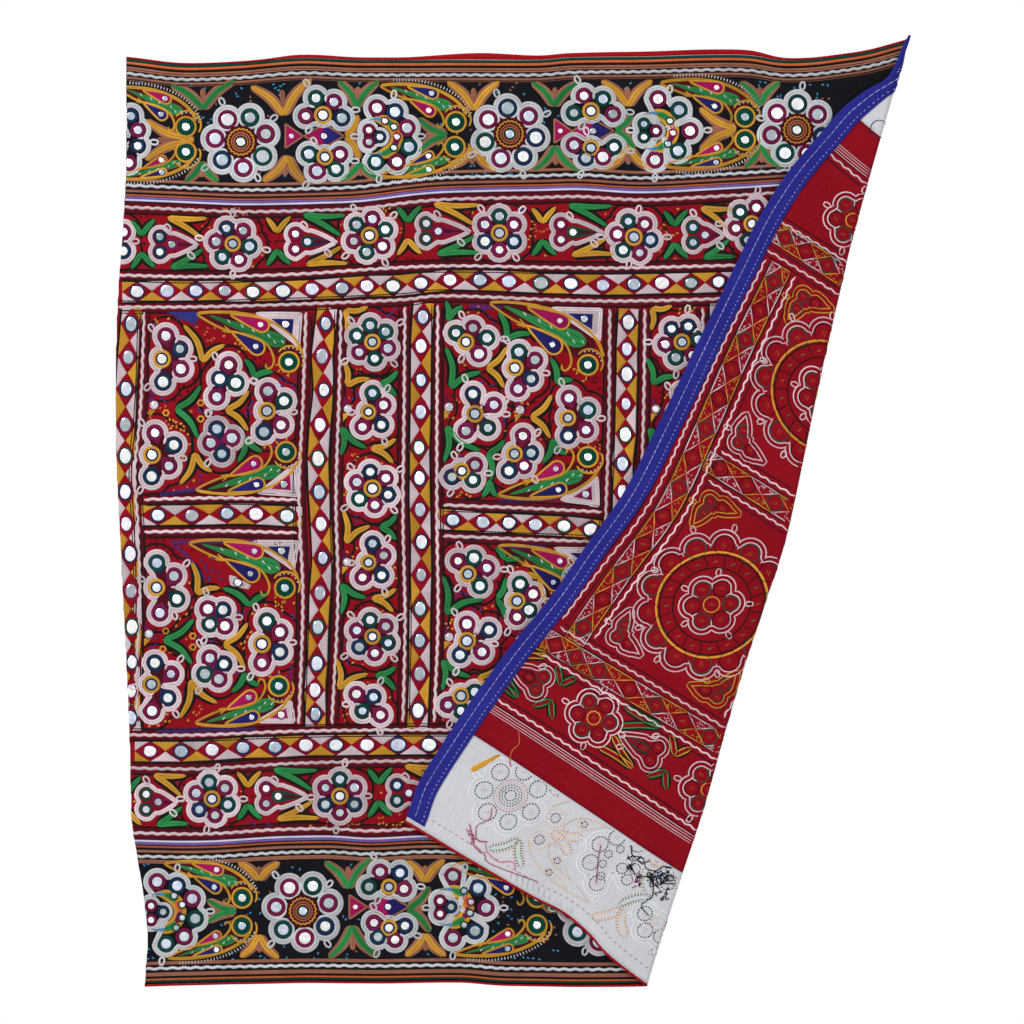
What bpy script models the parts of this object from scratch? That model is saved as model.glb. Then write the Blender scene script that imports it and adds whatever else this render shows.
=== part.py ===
"""Mirror-work wall hanging with its right side folded diagonally across the front.

World frame: metres, +Z up, face towards -Y, origin at the middle of the top edge.
The cloth is first described flat, in millimetres: x to the right of the origin, z up (so
depths down the cloth are negative). Then it is turned round the slanting fold and hung.
"""
import math

import bmesh
import bpy

MM = 0.001

# Thickness of the made-up cloth, measured from its middle layer, + towards the reverse
FACE = -1.1
FACE_CLOTH_BACK = 0.0
BACKING_FRONT = 0.3
REVERSE = 1.1
SEAM_GAP = 0.3
LAP_STEP = 0.4

# The fold: its chord runs from the top right corner down to the foot
FOLD_TOP = (490.6, 22.5)
FOLD_FOOT = (163.1, -1162.5)
FOLD_RADIUS = 4.5
BEND_STEPS = 6
SMALLEST_TURN = 0.9
# Distance down the chord, and how far the outline of the fold bows to the right of it
FOLD_BOW = (
    (0, 0.0),
    (255, -1.2),
    (340, 2.0),
    (440, 6.5),
    (540, 13.0),
    (650, 18.5),
    (750, 13.5),
    (860, 10.0),
    (1000, 9.5),
    (1100, 4.5),
    (1230, 0.0),
)

# Grid of every sheet
COLUMNS_ON_FACE = 20
COLUMNS_ON_FLAP = 8
ROW_STEP = 42.0
CLOSER_ROWS = 2

# Side edges: height, and place across the cloth
LEFT_EDGE = (
    (25, -488),
    (-130, -488),
    (-205, -492),
    (-305, -499),
    (-405, -502),
    (-505, -501),
    (-605, -496),
    (-705, -491),
    (-805, -486),
    (-905, -483),
    (-955, -482),
    (-1005, -474),
    (-1055, -466),
    (-1105, -462),
    (-1165, -465),
)
RIGHT_EDGE = (
    (40, 494),
    (15, 495),
    (-34, 490),
    (-64, 505),
    (-95, 517),
    (-130, 523),
    (-205, 534),
    (-310, 536),
    (-450, 536),
    (-576, 540),
    (-700, 543),
    (-810, 541),
    (-915, 551),
    (-1015, 558),
    (-1090, 554),
    (-1145, 540),
)

# Courses across the cloth: place across it, and height
TOP_CUT = (
    (-510, -3),
    (-488, -3),
    (-420, -10.5),
    (-345, -8.5),
    (-270, -2.5),
    (-195, -5),
    (-45, -5),
    (30, -5),
    (67, -2),
    (155, -1),
    (255, 1.5),
    (292, 0.5),
    (329, -5),
    (367, -4.5),
    (404, 0),
    (442, 6),
    (479, 16),
    (520, 26),
)
TOP_SEAM = (
    (-510, -178),
    (-445, -180),
    (-345, -184),
    (-245, -182),
    (-195, -180),
    (-120, -171),
    (-70, -168),
    (30, -166),
    (80, -165),
    (155, -169),
    (230, -166),
    (329, -160),
    (449, -151),
    (560, -137),
)
BOTTOM_SEAM = (
    (-510, -982),
    (-395, -984),
    (-295, -978),
    (-233, -977),
    (-183, -980),
    (-108, -977),
    (5, -979),
    (227, -980),
    (354, -975),
    (570, -968),
)
BOTTOM_CUT = (
    (-510, -1161),
    (-395, -1159),
    (-270, -1156),
    (-170, -1157),
    (-70, -1156),
    (-13, -1160),
    (163, -1160),
    (210, -1156),
    (238, -1151),
    (263, -1143),
    (305, -1137),
    (352, -1140),
    (540, -1142),
    (570, -1140),
)
TOP_LAP = 46.0
BOTTOM_LAP = 41.0

# Red edging: place across the cloth, and how far it stands past the cut edge
TOP_EDGING = (
    (-510, 2.2),
    (-320, 2.2),
    (-270, 4.0),
    (-120, 3.2),
    (-45, 8.5),
    (30, 5.5),
    (155, 6.3),
    (292, 6.3),
    (340, 2.8),
    (520, 2.6),
)
BOTTOM_EDGING = (
    (-510, 2.6),
    (0, 2.4),
    (570, 3.0),
)
EDGING_TAPER = 0.4

# Cord over each seam
CORD_WIDTH = 5.6
CORD_HEIGHT = 1.3
CORD_SIDES = 3
CORD_START = 0.25

# Blue facing on the reverse of the right-hand edge
BINDING_WIDTH = 27.0
BINDING_THICKNESS = 1.0
BINDING_GAP = 0.9
BINDING_SLACK = 0.6
BINDING_COLUMNS = 8
BINDING_PAST_EDGE = 1.2
BINDING_TOP = 2.0
TIP_RISE = 22.5
BINDING_FOOT = -1137.0
# Rows of the facing: how far down they reach, and how far apart they are
BINDING_ROWS = (
    (-30.0, 6.0),
    (-90.0, 3.5),
    (-125.0, 8.0),
    (BINDING_FOOT, 34.0),
)

# Soft flutes of the hung cloth: depth, wave across, wave down, phase
FLUTES = (
    (2.6, 330.0, 1900.0, 0.6),
    (1.6, 210.0, -1400.0, 2.1),
    (1.3, 900.0, 520.0, 4.0),
)
FLUTE_START = 0.25
FLUTE_FULL_DEPTH = 600.0

COLOURS = {
    "crimson": (0.32, 0.012, 0.02, 1.0),
    "black": (0.012, 0.011, 0.015, 1.0),
    "calico": (0.74, 0.75, 0.78, 1.0),
    "red": (0.38, 0.015, 0.02, 1.0),
    "violet": (0.42, 0.36, 0.62, 1.0),
    "blue": (0.035, 0.035, 0.38, 1.0),
}


def smooth(rows, at):
    """Value at a place on the smooth line through the rows, level beyond its ends."""
    rows = sorted(rows)
    if at <= rows[0][0]:
        return rows[0][1]
    if at >= rows[-1][0]:
        return rows[-1][1]
    after = next(i for i, row in enumerate(rows) if row[0] > at)
    (x0, y0), (x1, y1) = rows[after - 1], rows[after]

    def slope(index):
        if index in (0, len(rows) - 1):
            return 0.0
        low, high = rows[index - 1], rows[index + 1]
        return (high[1] - low[1]) / (high[0] - low[0])

    width = x1 - x0
    f = (at - x0) / width
    rise_0 = slope(after - 1) * width
    rise_1 = slope(after) * width
    return (
        y0 * (1 + 2 * f) * (1 - f) ** 2
        + rise_0 * f * (1 - f) ** 2
        + y1 * f * f * (3 - 2 * f)
        + rise_1 * f * f * (f - 1)
    )


def halfway(grows, target, low, high):
    """Place between low and high where a growing function reaches the target."""
    for _ in range(36):
        middle = (low + high) / 2
        if grows(middle) < target:
            low = middle
        else:
            high = middle
    return (low + high) / 2


CHORD = (FOLD_FOOT[0] - FOLD_TOP[0], FOLD_FOOT[1] - FOLD_TOP[1])
CHORD_LENGTH = math.hypot(*CHORD)
DOWN = (CHORD[0] / CHORD_LENGTH, CHORD[1] / CHORD_LENGTH)
ACROSS = (-DOWN[1], DOWN[0])
TURN_LENGTH = math.pi * FOLD_RADIUS


def fold_frame(x, z):
    """Distance down the fold, and the flat cloth's reach past the start of its turn."""
    dx, dz = x - FOLD_TOP[0], z - FOLD_TOP[1]
    down = dx * DOWN[0] + dz * DOWN[1]
    across = dx * ACROSS[0] + dz * ACROSS[1]
    start = smooth(FOLD_BOW, down) - FOLD_RADIUS - REVERSE
    return down, start, across - start


def flute(x, z):
    """Depth of the soft flutes at a place of the hung cloth."""
    growth = min(1.0, FLUTE_START + max(0.0, -z) / FLUTE_FULL_DEPTH)
    total = 0.0
    for depth, wave_across, wave_down, phase in FLUTES:
        turn = x / wave_across + z / wave_down
        total += depth * math.sin(2 * math.pi * turn + phase)
    return growth * total


def hung(x, z, layer):
    """World place of the flat cloth's point (x, z), a layer's height behind its middle."""
    down, start, past = fold_frame(x, z)
    if past <= 0:
        across, depth = past, layer
    elif past < TURN_LENGTH:
        angle = past / FOLD_RADIUS
        across = (FOLD_RADIUS + layer) * math.sin(angle)
        depth = (FOLD_RADIUS + layer) * math.cos(angle) - FOLD_RADIUS
    else:
        across, depth = TURN_LENGTH - past, -2 * FOLD_RADIUS - layer
    across += start
    hung_x = FOLD_TOP[0] + down * DOWN[0] + across * ACROSS[0]
    hung_z = FOLD_TOP[1] + down * DOWN[1] + across * ACROSS[1]
    return (hung_x * MM, (depth + flute(hung_x, hung_z)) * MM, hung_z * MM)


def columns(course):
    """Places across the cloth of one course's columns, close together round the fold."""
    left, right = -480.0, 530.0
    for _ in range(6):
        left = smooth(LEFT_EDGE, course(left))
        right = smooth(RIGHT_EDGE, course(right))

    def past(x):
        return fold_frame(x, course(x))[2]

    def place(distance):
        return halfway(past, distance, left, right)

    start = place(0.0)
    turn = min(TURN_LENGTH, SMALLEST_TURN * past(right))
    face = [left + (start - left) * i / COLUMNS_ON_FACE for i in range(COLUMNS_ON_FACE)]
    bend = [place(turn * i / BEND_STEPS) for i in range(BEND_STEPS)]
    flap_start = place(turn)
    flap = [
        flap_start + (right - flap_start) * i / COLUMNS_ON_FLAP
        for i in range(COLUMNS_ON_FLAP + 1)
    ]
    return face + bend + flap


def course_through(edge, shift=0.0):
    """A course that keeps a fixed distance above an edge."""

    def course(x):
        return smooth(edge, x) + shift

    return course


def course_between(upper, lower, share):
    """A course part of the way down between two others."""

    def course(x):
        return upper(x) + (lower(x) - upper(x)) * share

    return course


def courses(upper, lower, layers):
    """Rows of (course, front layer, back layer), about ROW_STEP apart."""
    steps = max(1, round((upper(0) - lower(0)) / ROW_STEP))
    shares = [i / steps for i in range(steps + 1)]
    return [(course_between(upper, lower, share), *layers) for share in shares]


def finish(name, bm, colour):
    """Closes a sheet's mesh into an object with its own cloth colour."""
    bmesh.ops.recalc_face_normals(bm, faces=bm.faces)
    bmesh.ops.triangulate(bm, faces=bm.faces, quad_method="FIXED")
    mesh = bpy.data.meshes.new(name)
    bm.to_mesh(mesh)
    bm.free()
    mesh.shade_smooth()
    mesh.set_sharp_from_angle(angle=math.radians(40))
    material = bpy.data.materials.new(name)
    material.use_nodes = True
    shader = material.node_tree.nodes["Principled BSDF"]
    shader.inputs["Base Color"].default_value = COLOURS[colour]
    shader.inputs["Roughness"].default_value = 0.85
    shader.inputs["Metallic"].default_value = 0.0
    material.diffuse_color = COLOURS[colour]
    mesh.materials.append(material)
    bpy.context.scene.collection.objects.link(bpy.data.objects.new(name, mesh))


def skin(bm, front, back):
    """Faces of a sheet between two lattices of points, given row by row."""
    front = [[bm.verts.new(point) for point in row] for row in front]
    back = [[bm.verts.new(point) for point in row] for row in back]
    last_row, last_column = len(front) - 1, len(front[0]) - 1
    for i in range(last_row):
        for j in range(last_column):
            bm.faces.new((front[i][j], front[i + 1][j], front[i + 1][j + 1], front[i][j + 1]))
            bm.faces.new((back[i][j], back[i][j + 1], back[i + 1][j + 1], back[i + 1][j]))
    for i in range(last_row):
        for j in (0, last_column):
            bm.faces.new((front[i][j], back[i][j], back[i + 1][j], front[i + 1][j]))
    for j in range(last_column):
        for i in (0, last_row):
            bm.faces.new((front[i][j], back[i][j], back[i][j + 1], front[i][j + 1]))


def sheet(name, rows, colour):
    """One cut piece of cloth, from rows of (course, front layer, back layer)."""
    front, back = [], []
    for course, front_layer, back_layer in rows:
        places = columns(course)
        front.append([hung(x, course(x), front_layer) for x in places])
        back.append([hung(x, course(x), back_layer) for x in places])
    bm = bmesh.new()
    skin(bm, front, back)
    finish(name, bm, colour)


def closer_at_tip(rows):
    """Adds a row halfway to each of the first rows, for the tight turn at the tip."""
    added = []
    for (upper, *layers), (lower, *_) in zip(rows[:CLOSER_ROWS], rows[1:]):
        added += [(upper, *layers), (course_between(upper, lower, 0.5), *layers)]
    return added + rows[CLOSER_ROWS:]


def border(name, upper, lower, colour):
    """Embroidered black band between its cut edge and its seam, the face cloth only."""
    rows = courses(upper, lower, (FACE, FACE_CLOTH_BACK))
    sheet(name, closer_at_tip(rows) if name == "top_border" else rows, colour)


def backing(name, upper, lower, colour):
    """White calico behind a border, between its cut edge and the field's lap."""
    rows = courses(upper, lower, (BACKING_FRONT, REVERSE))
    sheet(name, closer_at_tip(rows) if name == "top_backing" else rows, colour)


def field():
    """Crimson panel, full thickness between the seams and thin where it laps the borders."""
    thin = (BACKING_FRONT, REVERSE)
    rows = courses(course_through(TOP_SEAM, TOP_LAP), course_through(TOP_SEAM), thin)
    rows += courses(
        course_through(TOP_SEAM, -LAP_STEP - SEAM_GAP),
        course_through(BOTTOM_SEAM, LAP_STEP + SEAM_GAP),
        (FACE, REVERSE),
    )
    rows += courses(
        course_through(BOTTOM_SEAM), course_through(BOTTOM_SEAM, -BOTTOM_LAP), thin
    )
    sheet("field", rows, "crimson")


def edging(name, cut, widths, side):
    """Folded red strip that stands past a cut edge; side is 1 above it and -1 below."""

    def inner(x):
        return cut(x) + side * SEAM_GAP

    def outer(x):
        return inner(x) + side * smooth(widths, x)

    rows = [
        (inner, FACE, REVERSE),
        (outer, FACE + EDGING_TAPER, REVERSE - EDGING_TAPER),
    ]
    sheet(name, rows if side < 0 else rows[::-1], "red")


def seam_cord(name, seam):
    """Half-round cord that lies on the face over a seam."""
    rows = []
    for i in range(CORD_SIDES + 1):
        angle = CORD_START + (math.pi - 2 * CORD_START) * i / CORD_SIDES
        shift = CORD_WIDTH / 2 * math.cos(angle)
        rise = CORD_HEIGHT * math.sin(angle)
        rows.append((course_through(seam, shift), FACE - SEAM_GAP - rise, FACE - SEAM_GAP))
    sheet(name, rows, "violet")


def side_binding():
    """Blue facing on the reverse of the right-hand edge, from the tip to near the foot."""
    front_layer = REVERSE + BINDING_GAP
    back_layer = front_layer + BINDING_THICKNESS
    heights = [BINDING_TOP]
    for foot, spacing in BINDING_ROWS:
        top = heights[-1]
        steps = round((top - foot) / spacing)
        heights += [top + (foot - top) * (i + 1) / steps for i in range(steps)]
    front, back = [], []
    for height in heights:
        share = (BINDING_TOP - height) / (BINDING_TOP - BINDING_FOOT)
        front_row, back_row = [], []
        for j in range(BINDING_COLUMNS + 1):
            inset = BINDING_WIDTH * (1 - j / BINDING_COLUMNS) - BINDING_PAST_EDGE
            # The two ends are cut on a slant, as the foot and the top edge run
            slant = TIP_RISE * (1 - share) * j / BINDING_COLUMNS
            z = height + slant
            x = smooth(RIGHT_EDGE, z) - inset
            # Stiff cotton stands a little off the cloth where it turns with the fold
            turned = min(1.0, max(0.0, fold_frame(x, z)[2] / TURN_LENGTH))
            slack = BINDING_SLACK * math.sin(math.pi * turned)
            front_row.append(hung(x, z, front_layer + slack))
            back_row.append(hung(x, z, back_layer + slack))
        front.append(front_row)
        back.append(back_row)
    bm = bmesh.new()
    skin(bm, front, back)
    finish("side_binding", bm, "blue")


for old in list(bpy.data.objects):
    bpy.data.objects.remove(old, do_unlink=True)

top_cut = course_through(TOP_CUT)
bottom_cut = course_through(BOTTOM_CUT)
field()
border("top_border", top_cut, course_through(TOP_SEAM, SEAM_GAP), "black")
border("bottom_border", course_through(BOTTOM_SEAM, -SEAM_GAP), bottom_cut, "black")
backing("top_backing", top_cut, course_through(TOP_SEAM, TOP_LAP + SEAM_GAP), "calico")
lower_lap_edge = course_through(BOTTOM_SEAM, -BOTTOM_LAP - SEAM_GAP)
backing("bottom_backing", lower_lap_edge, bottom_cut, "calico")
edging("top_edging", top_cut, TOP_EDGING, 1)
edging("bottom_edging", bottom_cut, BOTTOM_EDGING, -1)
seam_cord("top_seam_cord", TOP_SEAM)
seam_cord("bottom_seam_cord", BOTTOM_SEAM)
side_binding()
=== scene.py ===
import math

import bpy
import numpy as np
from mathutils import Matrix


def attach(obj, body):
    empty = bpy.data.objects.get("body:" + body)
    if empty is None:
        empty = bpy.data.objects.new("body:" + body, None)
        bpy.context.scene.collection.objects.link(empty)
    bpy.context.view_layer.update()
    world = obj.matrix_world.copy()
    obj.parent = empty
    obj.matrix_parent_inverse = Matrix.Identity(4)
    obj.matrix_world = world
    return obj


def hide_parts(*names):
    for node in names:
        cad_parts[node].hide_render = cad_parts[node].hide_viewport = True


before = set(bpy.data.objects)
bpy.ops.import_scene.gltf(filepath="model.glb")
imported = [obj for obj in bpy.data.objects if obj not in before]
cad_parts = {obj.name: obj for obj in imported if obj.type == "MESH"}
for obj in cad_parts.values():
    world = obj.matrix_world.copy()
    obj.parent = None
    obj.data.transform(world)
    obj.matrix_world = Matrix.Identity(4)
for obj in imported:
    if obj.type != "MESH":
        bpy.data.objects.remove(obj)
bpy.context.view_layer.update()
chance = np.random.default_rng(7)

# The studio: a plain pale floor below the hanging, an even white surround, two soft lights
# in front of it and a long lens that faces it squarely, at the photograph's own angle.

# One pixel of the photograph in metres, and the pixel at the model's origin
STEP = 0.00125
MIDDLE_X = 516.5
TOP_Y = 56.0
PICTURE_MIDDLE = 512.0
CAMERA_DISTANCE = 6.0
SENSOR = 36.0
FLOOR_HEIGHT = -1.42
FLOOR_SIZE = 3.4
SURROUND_ON_CLOTH = 0.62
LIGHT_AIM = (0.0, 0.0, -0.55)

camera_data = bpy.data.cameras.new("camera")
camera_data.sensor_width = SENSOR
camera_data.lens = SENSOR * CAMERA_DISTANCE / (2 * PICTURE_MIDDLE * STEP)
camera_data.clip_end = 50.0
camera = bpy.data.objects.new("camera", camera_data)
camera.location = (
    (PICTURE_MIDDLE - MIDDLE_X) * STEP,
    -CAMERA_DISTANCE,
    (TOP_Y - PICTURE_MIDDLE) * STEP,
)
camera.rotation_euler = (math.pi / 2, 0, 0)
bpy.context.scene.collection.objects.link(camera)
bpy.context.scene.camera = camera
bpy.context.scene.view_settings.view_transform = "Standard"

world = bpy.data.worlds.new("surround")
world.use_nodes = True
surround = world.node_tree.nodes["Background"]
surround.inputs["Color"].default_value = (1.0, 1.0, 1.0, 1.0)
light_path = world.node_tree.nodes.new("ShaderNodeLightPath")
soften = world.node_tree.nodes.new("ShaderNodeMapRange")
soften.inputs["To Min"].default_value = 1.0
soften.inputs["To Max"].default_value = SURROUND_ON_CLOTH
world.node_tree.links.new(light_path.outputs["Is Diffuse Ray"], soften.inputs["Value"])
world.node_tree.links.new(soften.outputs["Result"], surround.inputs["Strength"])
bpy.context.scene.world = world

# Light: name, place, size, power
for light_name, place, light_size, power in (
    ("key_light", (-2.1, -2.2, 1.4), 0.7, 62.0),
    ("fill_light", (2.6, -3.0, -0.4), 1.4, 12.0),
):
    light_data = bpy.data.lights.new(light_name, "AREA")
    light_data.size = light_size
    light_data.energy = power
    light = bpy.data.objects.new(light_name, light_data)
    light.location = place
    aim = np.array(LIGHT_AIM) - np.array(place)
    light.rotation_euler = (
        math.atan2(math.hypot(aim[0], aim[1]), -aim[2]),
        0.0,
        math.atan2(aim[0], -aim[1]) + math.pi,
    )
    bpy.context.scene.collection.objects.link(light)

bpy.ops.object.select_all(action="DESELECT")
bpy.ops.mesh.primitive_plane_add(size=FLOOR_SIZE, location=(0.0, 0.0, FLOOR_HEIGHT))
floor = bpy.context.object
floor.name = "floor"
floor_paint = bpy.data.materials.new("pale_floor")
floor_paint.use_nodes = True
floor_shader = floor_paint.node_tree.nodes["Principled BSDF"]
floor_shader.inputs["Base Color"].default_value = (0.86, 0.86, 0.85, 1.0)
floor_shader.inputs["Roughness"].default_value = 0.8
floor.data.materials.append(floor_paint)


# The crimson field: one panel of plain cotton between the two black borders, hung by its top
# edge with its right side turned over the front on a slant. It is laid out flat on a grid
# of 1.25 mm steps, counted from the photograph's top left corner, and then folded.
MM = 0.001
# Layers of the made-up cloth, in millimetres behind its middle
FACE = -1.1
REVERSE = 1.1
CLOTH_FRONT = -0.25
CLOTH_BACK = 0.95
LAP_FRONT = 0.45
# The slanting fold, from the top edge to the foot in pixels, and its inner radius in millimetres
FOLD_TOP = (909.0, 38.0)
FOLD_FOOT = (647.0, 986.0)
FOLD_RADIUS = 4.5
TURN = math.pi * FOLD_RADIUS
GRID = 6.0
BEND_STEPS = 10
# Laps behind the borders and the gap left at a seam, in pixels
LAP = {"top": 37.0, "bottom": 33.0}
SEAM_GAP = 0.4
# Pixels between which the flat cloth lies, then its rough width on the front and on the flap
FLAT_LEFT = 104
FLAT_RIGHT = 975
FRONT_WIDTH = 620
FLAP_WIDTH = 300
MIDDLE_COURSE = 500.0
# Soft flutes of the hung cloth: depth, wave across, wave down, phase, in millimetres
FLUTES = (
    (2.6, 330.0, 1900.0, 0.6),
    (1.6, 210.0, -1400.0, 2.1),
    (1.3, 900.0, 520.0, 4.0),
)
FLUTE_START = 0.25
FLUTE_FULL_DEPTH = 600.0
# Small puckers that the stitching draws up: depth, wave across, wave down, phase
PUCKERS = (
    (0.5, 93.0, 121.0, 0.0),
    (0.35, -79.0, 143.0, 1.7),
    (0.2, 57.0, -64.0, 3.1),
)


def line_through(*rows):
    """Smooth line through (place, value) rows, level past its ends."""
    places, values = (np.array(column, float) for column in zip(*rows))
    slopes = np.zeros(len(rows))
    slopes[1:-1] = (values[2:] - values[:-2]) / (places[2:] - places[:-2])

    def line(at):
        """Values of the line at some places."""
        at = np.clip(at, places[0], places[-1])
        i = np.clip(np.searchsorted(places, at, side="right") - 1, 0, len(rows) - 2)
        width = places[i + 1] - places[i]
        f = (at - places[i]) / width
        start = values[i] * (1 + 2 * f) + slopes[i] * width * f
        end = values[i + 1] * (3 - 2 * f) + slopes[i + 1] * width * (f - 1)
        return start * (1 - f) ** 2 + end * f**2

    return line


fold_bow = line_through(
    (0, 0), (204, -1), (272, 1.6), (352, 5.2), (432, 10.4), (520, 14.8),
    (600, 10.8), (688, 8), (800, 7.6), (880, 3.6), (984, 0),
)
left_edge = line_through(
    (36, 126), (160, 126), (220, 123), (300, 117.3), (380, 115), (460, 115.7),
    (540, 119.7), (620, 123.7), (700, 127.7), (780, 130.1), (820, 130.9),
    (860, 137.3), (900, 143.7), (940, 146.9), (988, 144.5),
)
right_edge = line_through(
    (24, 911.7), (44, 912.5), (83, 908.5), (107, 920.5), (132, 930.1), (160, 934.9),
    (220, 943.7), (304, 945.3), (416, 945.3), (517, 948.5), (616, 950.9),
    (704, 949.3), (788, 957.3), (868, 962.9), (928, 959.7), (972, 948.5),
)
top_cut = line_through(
    (108, 58.4), (126, 58.4), (180, 64.4), (240, 62.8), (300, 58), (360, 60),
    (480, 60), (540, 60), (570, 57.6), (640, 56.8), (720, 54.8), (750, 55.6),
    (780, 60), (810, 59.6), (840, 56), (870, 51.2), (900, 43.2), (932, 35.2),
)
top_seam = line_through(
    (108, 198.4), (160, 200), (240, 203.2), (320, 201.6), (360, 200), (420, 192.8),
    (460, 190.4), (540, 188.8), (580, 188), (640, 191.2), (700, 188.8), (780, 184),
    (876, 176.8), (965, 165.6),
)
bottom_seam = line_through(
    (108, 841.6), (200, 843.2), (280, 838.4), (330, 837.6), (370, 840), (430, 837.6),
    (520, 839.2), (698, 840), (800, 836), (972, 830.4),
)
bottom_cut = line_through(
    (108, 984.8), (200, 983.2), (300, 980.8), (380, 981.6), (460, 980.8), (506, 984),
    (647, 984), (684, 980.8), (707, 976.8), (727, 970.4), (760, 965.6), (798, 968),
    (948, 969.6), (972, 968),
)
CHORD = np.subtract(FOLD_FOOT, FOLD_TOP)
DOWN = CHORD / np.hypot(*CHORD)
ACROSS = np.array((DOWN[1], -DOWN[0]))


def past_fold(x, y):
    """Distance down the fold, start of its turn, and reach past that start in mm."""
    dx, dy = x - FOLD_TOP[0], y - FOLD_TOP[1]
    down = dx * DOWN[0] + dy * DOWN[1]
    start = fold_bow(down) - (FOLD_RADIUS + REVERSE) * MM / STEP
    return down, start, (dx * ACROSS[0] + dy * ACROSS[1] - start) * STEP / MM


def waves(x, z, table):
    """Depth of soft waves at places of the hung cloth, in millimetres."""
    total = 0.0
    for depth, wave_across, wave_down, phase in table:
        total = total + depth * np.sin(2 * math.pi * (x / wave_across + z / wave_down) + phase)
    return total


def hung(x, y, layer):
    """World places of the flat cloth's points, each a layer in mm behind its middle."""
    x, y, layer = (np.asarray(value, float) for value in (x, y, layer))
    down, start, past = past_fold(x, y)
    angle = np.clip(past / FOLD_RADIUS, 0, math.pi)
    radius = FOLD_RADIUS + layer
    reach = np.where(past < 0, past, radius * np.sin(angle) + np.minimum(TURN - past, 0))
    depth = np.where(past < 0, layer, radius * np.cos(angle) - FOLD_RADIUS)
    across = start + reach * MM / STEP
    world_x = (FOLD_TOP[0] + down * DOWN[0] + across * ACROSS[0] - MIDDLE_X) * STEP / MM
    world_z = (TOP_Y - FOLD_TOP[1] - down * DOWN[1] - across * ACROSS[1]) * STEP / MM
    growth = np.minimum(1.0, FLUTE_START + np.maximum(0.0, -world_z) / FLUTE_FULL_DEPTH)
    depth = depth + growth * waves(world_x, world_z, FLUTES)
    depth = depth + waves(x * STEP / MM, y * STEP / MM, PUCKERS)
    return np.stack((world_x, depth, world_z), -1) * MM


def shifted(line, distance):
    """The same line, a fixed distance lower down the cloth."""
    return lambda x: line(x) + distance


def sheet_columns(course):
    """Places across one course, with close columns round the fold."""
    x = np.linspace(FLAT_LEFT, FLAT_RIGHT, 900)
    y = course(x)
    inside = (x >= left_edge(y)) & (x <= right_edge(y))
    left, right = x[inside].min(), x[inside].max()
    past = past_fold(x, y)[2]
    edge_past = np.interp(right, x, past)
    turn = min(TURN, 0.9 * edge_past)
    marks = np.interp((0.0, turn), past, x)
    face = np.linspace(left, marks[0], round(FRONT_WIDTH / GRID), endpoint=False)
    bend = np.interp(np.linspace(0, turn, BEND_STEPS, endpoint=False), past, x)
    flap = np.linspace(marks[1], right, round(FLAP_WIDTH / GRID) + 1)
    return np.concatenate((face, bend, flap))


def cloth_sheet(name, rows):
    """A thin closed sheet from rows of (course, front layer, back layer)."""
    fronts, backs, flats = [], [], []
    for course, front, back in rows:
        x = sheet_columns(course)
        y = course(x)
        fronts.append(hung(x, y, front))
        backs.append(hung(x, y, back))
        flats.append(np.stack((x, y), -1))
    return closed_sheet(name, np.array(fronts), np.array(backs), np.array(flats))


def closed_sheet(name, front, back, flat):
    """A closed sheet between two grids of points, whose columns run to the right."""
    index = np.arange(front.size // 3).reshape(front.shape[:2])
    far = index + index.size
    quads = [
        np.stack((index[:-1, :-1], index[1:, :-1], index[1:, 1:], index[:-1, 1:]), -1),
        np.stack((far[:-1, :-1], far[:-1, 1:], far[1:, 1:], far[1:, :-1]), -1),
    ]
    for near, behind in (
        (index[0], far[0]), (far[-1], index[-1]), (far[:, 0], index[:, 0]), (index[:, -1], far[:, -1]),
    ):
        quads.append(np.stack((near[:-1], near[1:], behind[1:], behind[:-1]), -1))
    points = np.concatenate((front.reshape(-1, 3), back.reshape(-1, 3)))
    layout = np.tile(flat.reshape(-1, 2), (2, 1)) * STEP
    return mesh_of(name, points, [lot.reshape(-1, 4) for lot in quads], "flat", layout)


def mesh_of(name, points, faces, map_name, layout):
    """A smooth mesh from lots of quads or triangles, with one UV place for each point."""
    corners = np.concatenate([lot.ravel() for lot in faces])
    sides = np.concatenate([np.full(len(lot), lot.shape[1]) for lot in faces])
    mesh = bpy.data.meshes.new(name)
    mesh.vertices.add(len(points))
    mesh.vertices.foreach_set("co", points.astype(np.float32).ravel())
    mesh.loops.add(len(corners))
    mesh.loops.foreach_set("vertex_index", corners.astype(np.int32))
    mesh.polygons.add(len(sides))
    mesh.polygons.foreach_set("loop_start", (np.cumsum(sides) - sides).astype(np.int32))
    mesh.polygons.foreach_set("use_smooth", np.ones(len(sides), bool))
    mesh.update(calc_edges=True)
    places = mesh.uv_layers.new(name=map_name)
    places.data.foreach_set("uv", layout[corners].astype(np.float32).ravel())
    mesh.validate()
    made = bpy.data.objects.new(name, mesh)
    bpy.context.scene.collection.objects.link(made)
    return made


def rows_between(upper, lower, front, back):
    """Courses of one piece of cloth, a grid step apart."""
    depth = float(lower(MIDDLE_COURSE) - upper(MIDDLE_COURSE))
    count = max(2, round(depth / GRID))
    shares = np.linspace(0, 1, count + 1)
    return [
        (lambda x, share=share: upper(x) * (1 - share) + lower(x) * share, front, back)
        for share in shares
    ]


def socket(made, name):
    """The enabled input of a node that has this name."""
    return next(one for one in made.inputs if one.name == name and one.enabled)


def link(material, source, target):
    """Joins an output to an input."""
    material.node_tree.links.new(source, target)


def node(material, kind, inputs, **settings):
    """A new shader node with its settings, and its inputs given by their names."""
    made = material.node_tree.nodes.new(kind)
    for key, value in settings.items():
        setattr(made, key, value)
    for key, value in inputs.items():
        target = made.inputs[key] if isinstance(key, int) else socket(made, key)
        if hasattr(value, "is_linked"):
            link(material, value, target)
        else:
            target.default_value = value
    return made


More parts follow.
